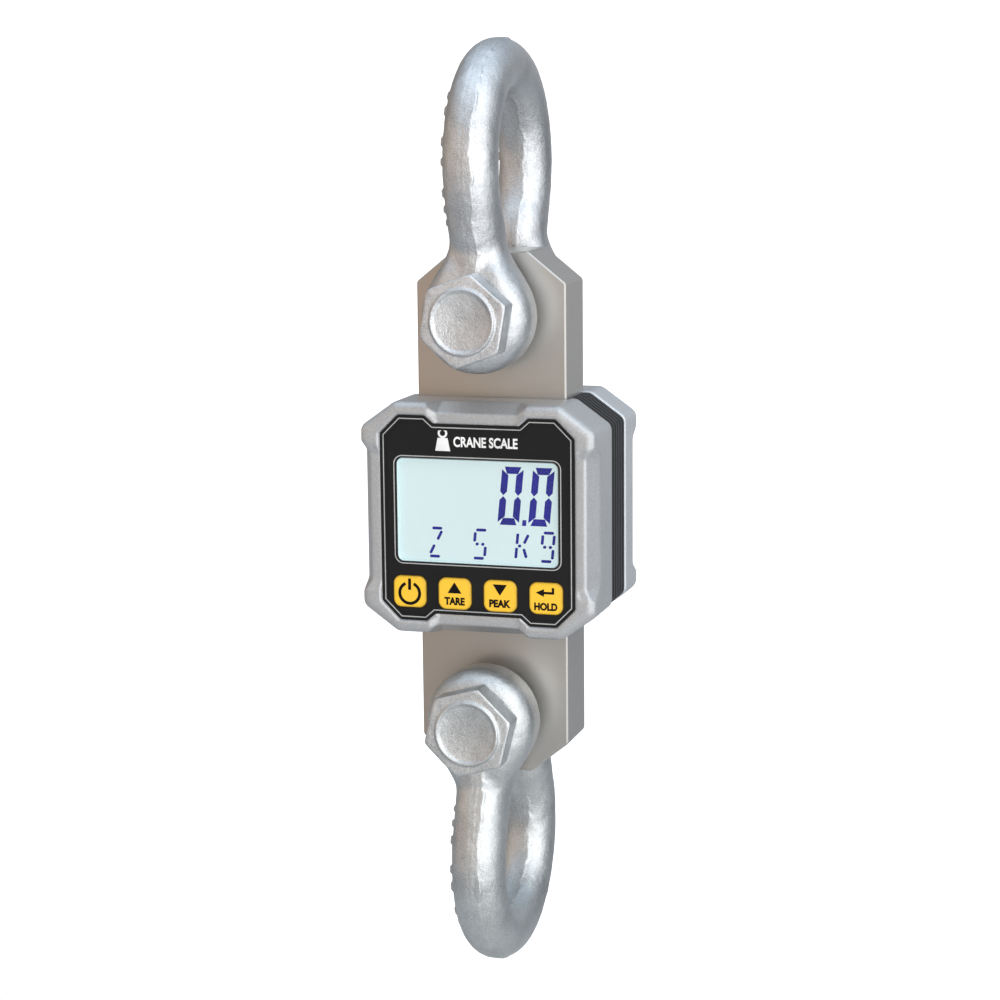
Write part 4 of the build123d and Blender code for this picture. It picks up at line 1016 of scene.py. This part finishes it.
# ================ key symbols, mm
SYMBOL_THICK = PRINT_THICK * 1.5
SYMBOL_STROKE = 1.45
POWER_RADIUS, POWER_DROP, POWER_GAP = 4.85, 0.7, 24  # the ring opens by POWER_GAP degrees each way
POWER_BAR, POWER_BAR_CORNER, POWER_BAR_RISE = 5.4, 0.3, 3.5
TRIANGLE_HALF_WIDTH, TRIANGLE_HALF_HEIGHT, TRIANGLE_RISE = 3.4, 2.6, 2.9
ARROW_HEAD = ((-4.7, 2.7), (-0.8, 4.5), (-0.8, 0.9))
ARROW_TAIL = ((-1.0, 2.15), (4.0, 2.15), (4.0, 5.2), (2.9, 5.2), (2.9, 3.25), (-1.0, 3.25))
WORD_HEIGHT, WORD_WEIGHT = 3.7, 0.052
# key, word, the way its triangle points, width of the word
ARROW_KEYS = (("key_tare", "TARE", 1, 9.8), ("key_peak", "PEAK", -1, 10.3))
ARROW_WORD_DROP = 3.4
HOLD_WIDTH, HOLD_DROP = 11.0, 3.7


def key_centre(key):
    """Key centre in mm about the housing centre, and the y of its face."""
    low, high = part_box(key)
    return (low.x + high.x) / 2 / MM, ((low.z + high.z) / 2 - HOUSING_Z) / MM, low.y


def stroke_ring(centre, radius, start, end):
    """Closed outline of a circular stroke; angles in degrees."""
    outside = arc(centre, radius + SYMBOL_STROKE / 2, start, end, 36)
    return outside + arc(centre, radius - SYMBOL_STROKE / 2, end, start, 36)


def make_key_symbols():
    """Black symbols and words on the key faces."""
    x, z, face = key_centre("key_power")
    ring = stroke_ring((x, z - POWER_DROP), POWER_RADIUS, 90 + POWER_GAP, 450 - POWER_GAP)
    bar = rounded_rectangle(SYMBOL_STROKE, POWER_BAR, POWER_BAR_CORNER, (x, z + POWER_BAR_RISE), 3)
    add_symbol("key_power", [ring, bar], face)
    for key, word, way, width in ARROW_KEYS:
        x, z, face = key_centre(key)
        base, tip = (z + TRIANGLE_RISE + side * way * TRIANGLE_HALF_HEIGHT for side in (-1, 1))
        triangle = [(x - TRIANGLE_HALF_WIDTH, base), (x + TRIANGLE_HALF_WIDTH, base), (x, tip)]
        add_symbol(key, [triangle], face)
        add_word(key, word, width, (x, z - ARROW_WORD_DROP), face)
    x, z, face = key_centre("key_hold")
    arrow = [[(x + px, z + pz) for px, pz in outline] for outline in (ARROW_HEAD, ARROW_TAIL)]
    add_symbol("key_hold", arrow, face)
    add_word("key_hold", "HOLD", HOLD_WIDTH, (x, z - HOLD_DROP), face)


def add_symbol(key, outlines, face):
    """Black printed shapes on a key, which ride on it."""
    plate_piece(f"{key}_symbol", BLACK_INK, face - PRINT_THICK, SYMBOL_THICK, outlines, body=key)


def add_word(key, word, width, centre, face):
    """Black printed word on a key, which rides on it."""
    name, front = f"{key}_word", face - PRINT_THICK
    mesh = text_mesh(name, word, width, WORD_HEIGHT, centre, front, SYMBOL_THICK, WORD_WEIGHT)
    new_piece(name, mesh, BLACK_INK, key)


make_label_print()
make_display()
make_key_symbols()


# ================ studio, metres
FLOOR_DROP = 0.8  # the scale hangs this far above the floor
FLOOR_HALF, FLOOR_COLOUR = 6.0, (0.64, 0.62, 0.60, 1)
SWEEP_Y, SWEEP_CURVE, SWEEP_TOP = 2.6, 0.9, 0.5
SWEEP_SIDES, SWEEP_COLOUR, SWEEP_GLOW = (-2.0, 0.35), (0.8, 0.8, 0.8, 1), 0.8
SWEEP_LIFT = 0.002  # the sweep's foot lies this far above the floor
WARM_WALL = (-0.8, -0.6, 0.0)  # direction of the warm side of the room
COOL_ABOVE = (0.54, 0.645, 0.76, 1)
PALE_WALL = (0.86, 0.86, 0.86, 1)
MIX_A, MIX_B, MIX_RESULT = 6, 7, 2  # colour sockets of a Mix node

# camera: looks past the link's centre, from the right of the front and a little above
AZIMUTH, ELEVATION, ROLL = math.radians(17.0), math.radians(9.76), math.radians(-0.56)
CAMERA_DISTANCE = 1.141
CAMERA_LENS = 86.97  # mm, for a sensor 36 mm wide
AIM_RIGHT, AIM_UP = -0.00108, 0.0042


def stage_backdrop():
    """Pale floor below the hanging scale, and a lit white sweep that stands behind it."""
    floor_z = CAD_BOX[0].z - FLOOR_DROP
    edges = [(-FLOOR_HALF, floor_z), (FLOOR_HALF, floor_z)]
    floor = paper("floor", edges, (-FLOOR_HALF, FLOOR_HALF), FLOOR_COLOUR, 0.0)
    foot = (SWEEP_Y - SWEEP_CURVE, floor_z + SWEEP_CURVE + SWEEP_LIFT)
    profile = arc(foot, SWEEP_CURVE, -90, 0, 16) + [(SWEEP_Y, SWEEP_TOP)]
    sweep = paper("sweep", profile, SWEEP_SIDES, SWEEP_COLOUR, SWEEP_GLOW)
    sweep.visible_glossy = sweep.visible_diffuse = False


def paper(name, profile, sides, colour, glow):
    """Matt, evenly glowing sheet along a (y, z) profile, between the two x of sides."""
    count = len(profile)
    verts = [(x, y, z) for x in sides for y, z in profile]
    mesh = bpy.data.meshes.new(name)
    mesh.from_pydata(verts, [], [(i + 1, i, count + i, count + i + 1) for i in range(count - 1)])
    mesh.shade_smooth()
    made, _, bsdf = surface(name, "studio", Roughness=0.95, Specular_IOR_Level=0.1)
    bsdf.inputs["Base Color"].default_value = colour
    bsdf.inputs["Emission Color"].default_value = (1, 1, 1, 1)
    bsdf.inputs["Emission Strength"].default_value = glow
    mesh.materials.append(made)
    return add_object(name, mesh)


def softbox(name, azimuth, distance, height, size, radiance, colour=(1, 1, 1)):
    """Rectangular light that faces the link's middle: azimuth in degrees to the right of the
    front, distance from the middle and height above it in metres."""
    angle = math.radians(azimuth)
    place = LINK_CENTRE + Vector((math.sin(angle) * distance, -math.cos(angle) * distance, height))
    light = bpy.data.lights.new(name, "AREA")
    light.shape = "RECTANGLE"
    light.size, light.size_y = size
    light.energy = radiance * math.pi * size[0] * size[1]
    light.color = colour
    holder = add_object(name, light)
    holder.location = place
    holder.rotation_euler = (LINK_CENTRE - place).to_track_quat("-Z", "Y").to_euler()
    holder.visible_camera = False


def studio_world():
    """Dim room, warm on the left and cool above, that lights the scale behind plain pale walls."""
    world = bpy.data.worlds.new("studio")
    bpy.context.scene.world = world
    world.use_nodes = True
    tree = world.node_tree
    background = tree.nodes["Background"]
    direction = node(tree, "ShaderNodeTexCoord").outputs["Generated"]
    height = node(tree, "ShaderNodeSeparateXYZ", {0: direction}).outputs["Z"]
    both = {0: direction, 1: WARM_WALL}
    towards_warm = node(tree, "ShaderNodeVectorMath", both, operation="DOT_PRODUCT").outputs[1]
    walls = ramp(
        tree,
        math_node(tree, "MULTIPLY_ADD", towards_warm, 0.5, 0.5),
        (0.0, (0.18, 0.195, 0.21)),
        (0.1, (0.53, 0.54, 0.56)),
        (0.3, (0.33, 0.33, 0.33)),
        (0.55, (0.25, 0.22, 0.195)),
        (0.8, (0.41, 0.34, 0.28)),
        (0.92, (0.80, 0.66, 0.56)),
    )
    upward = {"Value": height, "From Min": 0.3, "From Max": 0.8}
    above = node(tree, "ShaderNodeMapRange", upward).outputs[0]
    room = {"Factor": above, MIX_A: walls, MIX_B: COOL_ABOVE}
    colour = node(tree, "ShaderNodeMix", room, data_type="RGBA").outputs[MIX_RESULT]
    seen = node(tree, "ShaderNodeLightPath").outputs["Is Camera Ray"]
    shown = {"Factor": seen, MIX_A: colour, MIX_B: PALE_WALL}
    plain = node(tree, "ShaderNodeMix", shown, data_type="RGBA").outputs[MIX_RESULT]
    tree.links.new(plain, background.inputs[0])


def studio_camera():
    """Long-lens view from the front right, a little above the scale."""
    away = math.cos(ELEVATION)
    back = Vector((math.sin(AZIMUTH) * away, -math.cos(AZIMUTH) * away, math.sin(ELEVATION)))
    right = Vector((math.cos(AZIMUTH), math.sin(AZIMUTH), 0))
    up = back.cross(right)
    level_right = right * math.cos(ROLL) + up * math.sin(ROLL)
    level_up = up * math.cos(ROLL) - right * math.sin(ROLL)
    data = bpy.data.cameras.new("camera")
    data.lens = CAMERA_LENS
    data.sensor_width = 36
    data.clip_start, data.clip_end = 0.05, 60
    camera = add_object("camera", data)
    place = LINK_CENTRE + right * AIM_RIGHT + up * AIM_UP + back * CAMERA_DISTANCE
    turn = Matrix((level_right, level_up, back)).transposed().to_4x4()
    camera.matrix_world = Matrix.Translation(place) @ turn
    bpy.context.scene.camera = camera


stage_backdrop()
studio_world()
softbox("key", azimuth=54, distance=1.6, height=0.45, size=(2.2, 2.7), radiance=1.55)
softbox("front", azimuth=13, distance=1.9, height=-0.05, size=(1.0, 1.5), radiance=1.5)
sky = (0.90, 0.95, 1.0)
softbox("top", azimuth=0, distance=0.2, height=1.25, size=(1.8, 1.4), radiance=0.7, colour=sky)
studio_camera()
bpy.context.scene.view_settings.view_transform = "Standard"
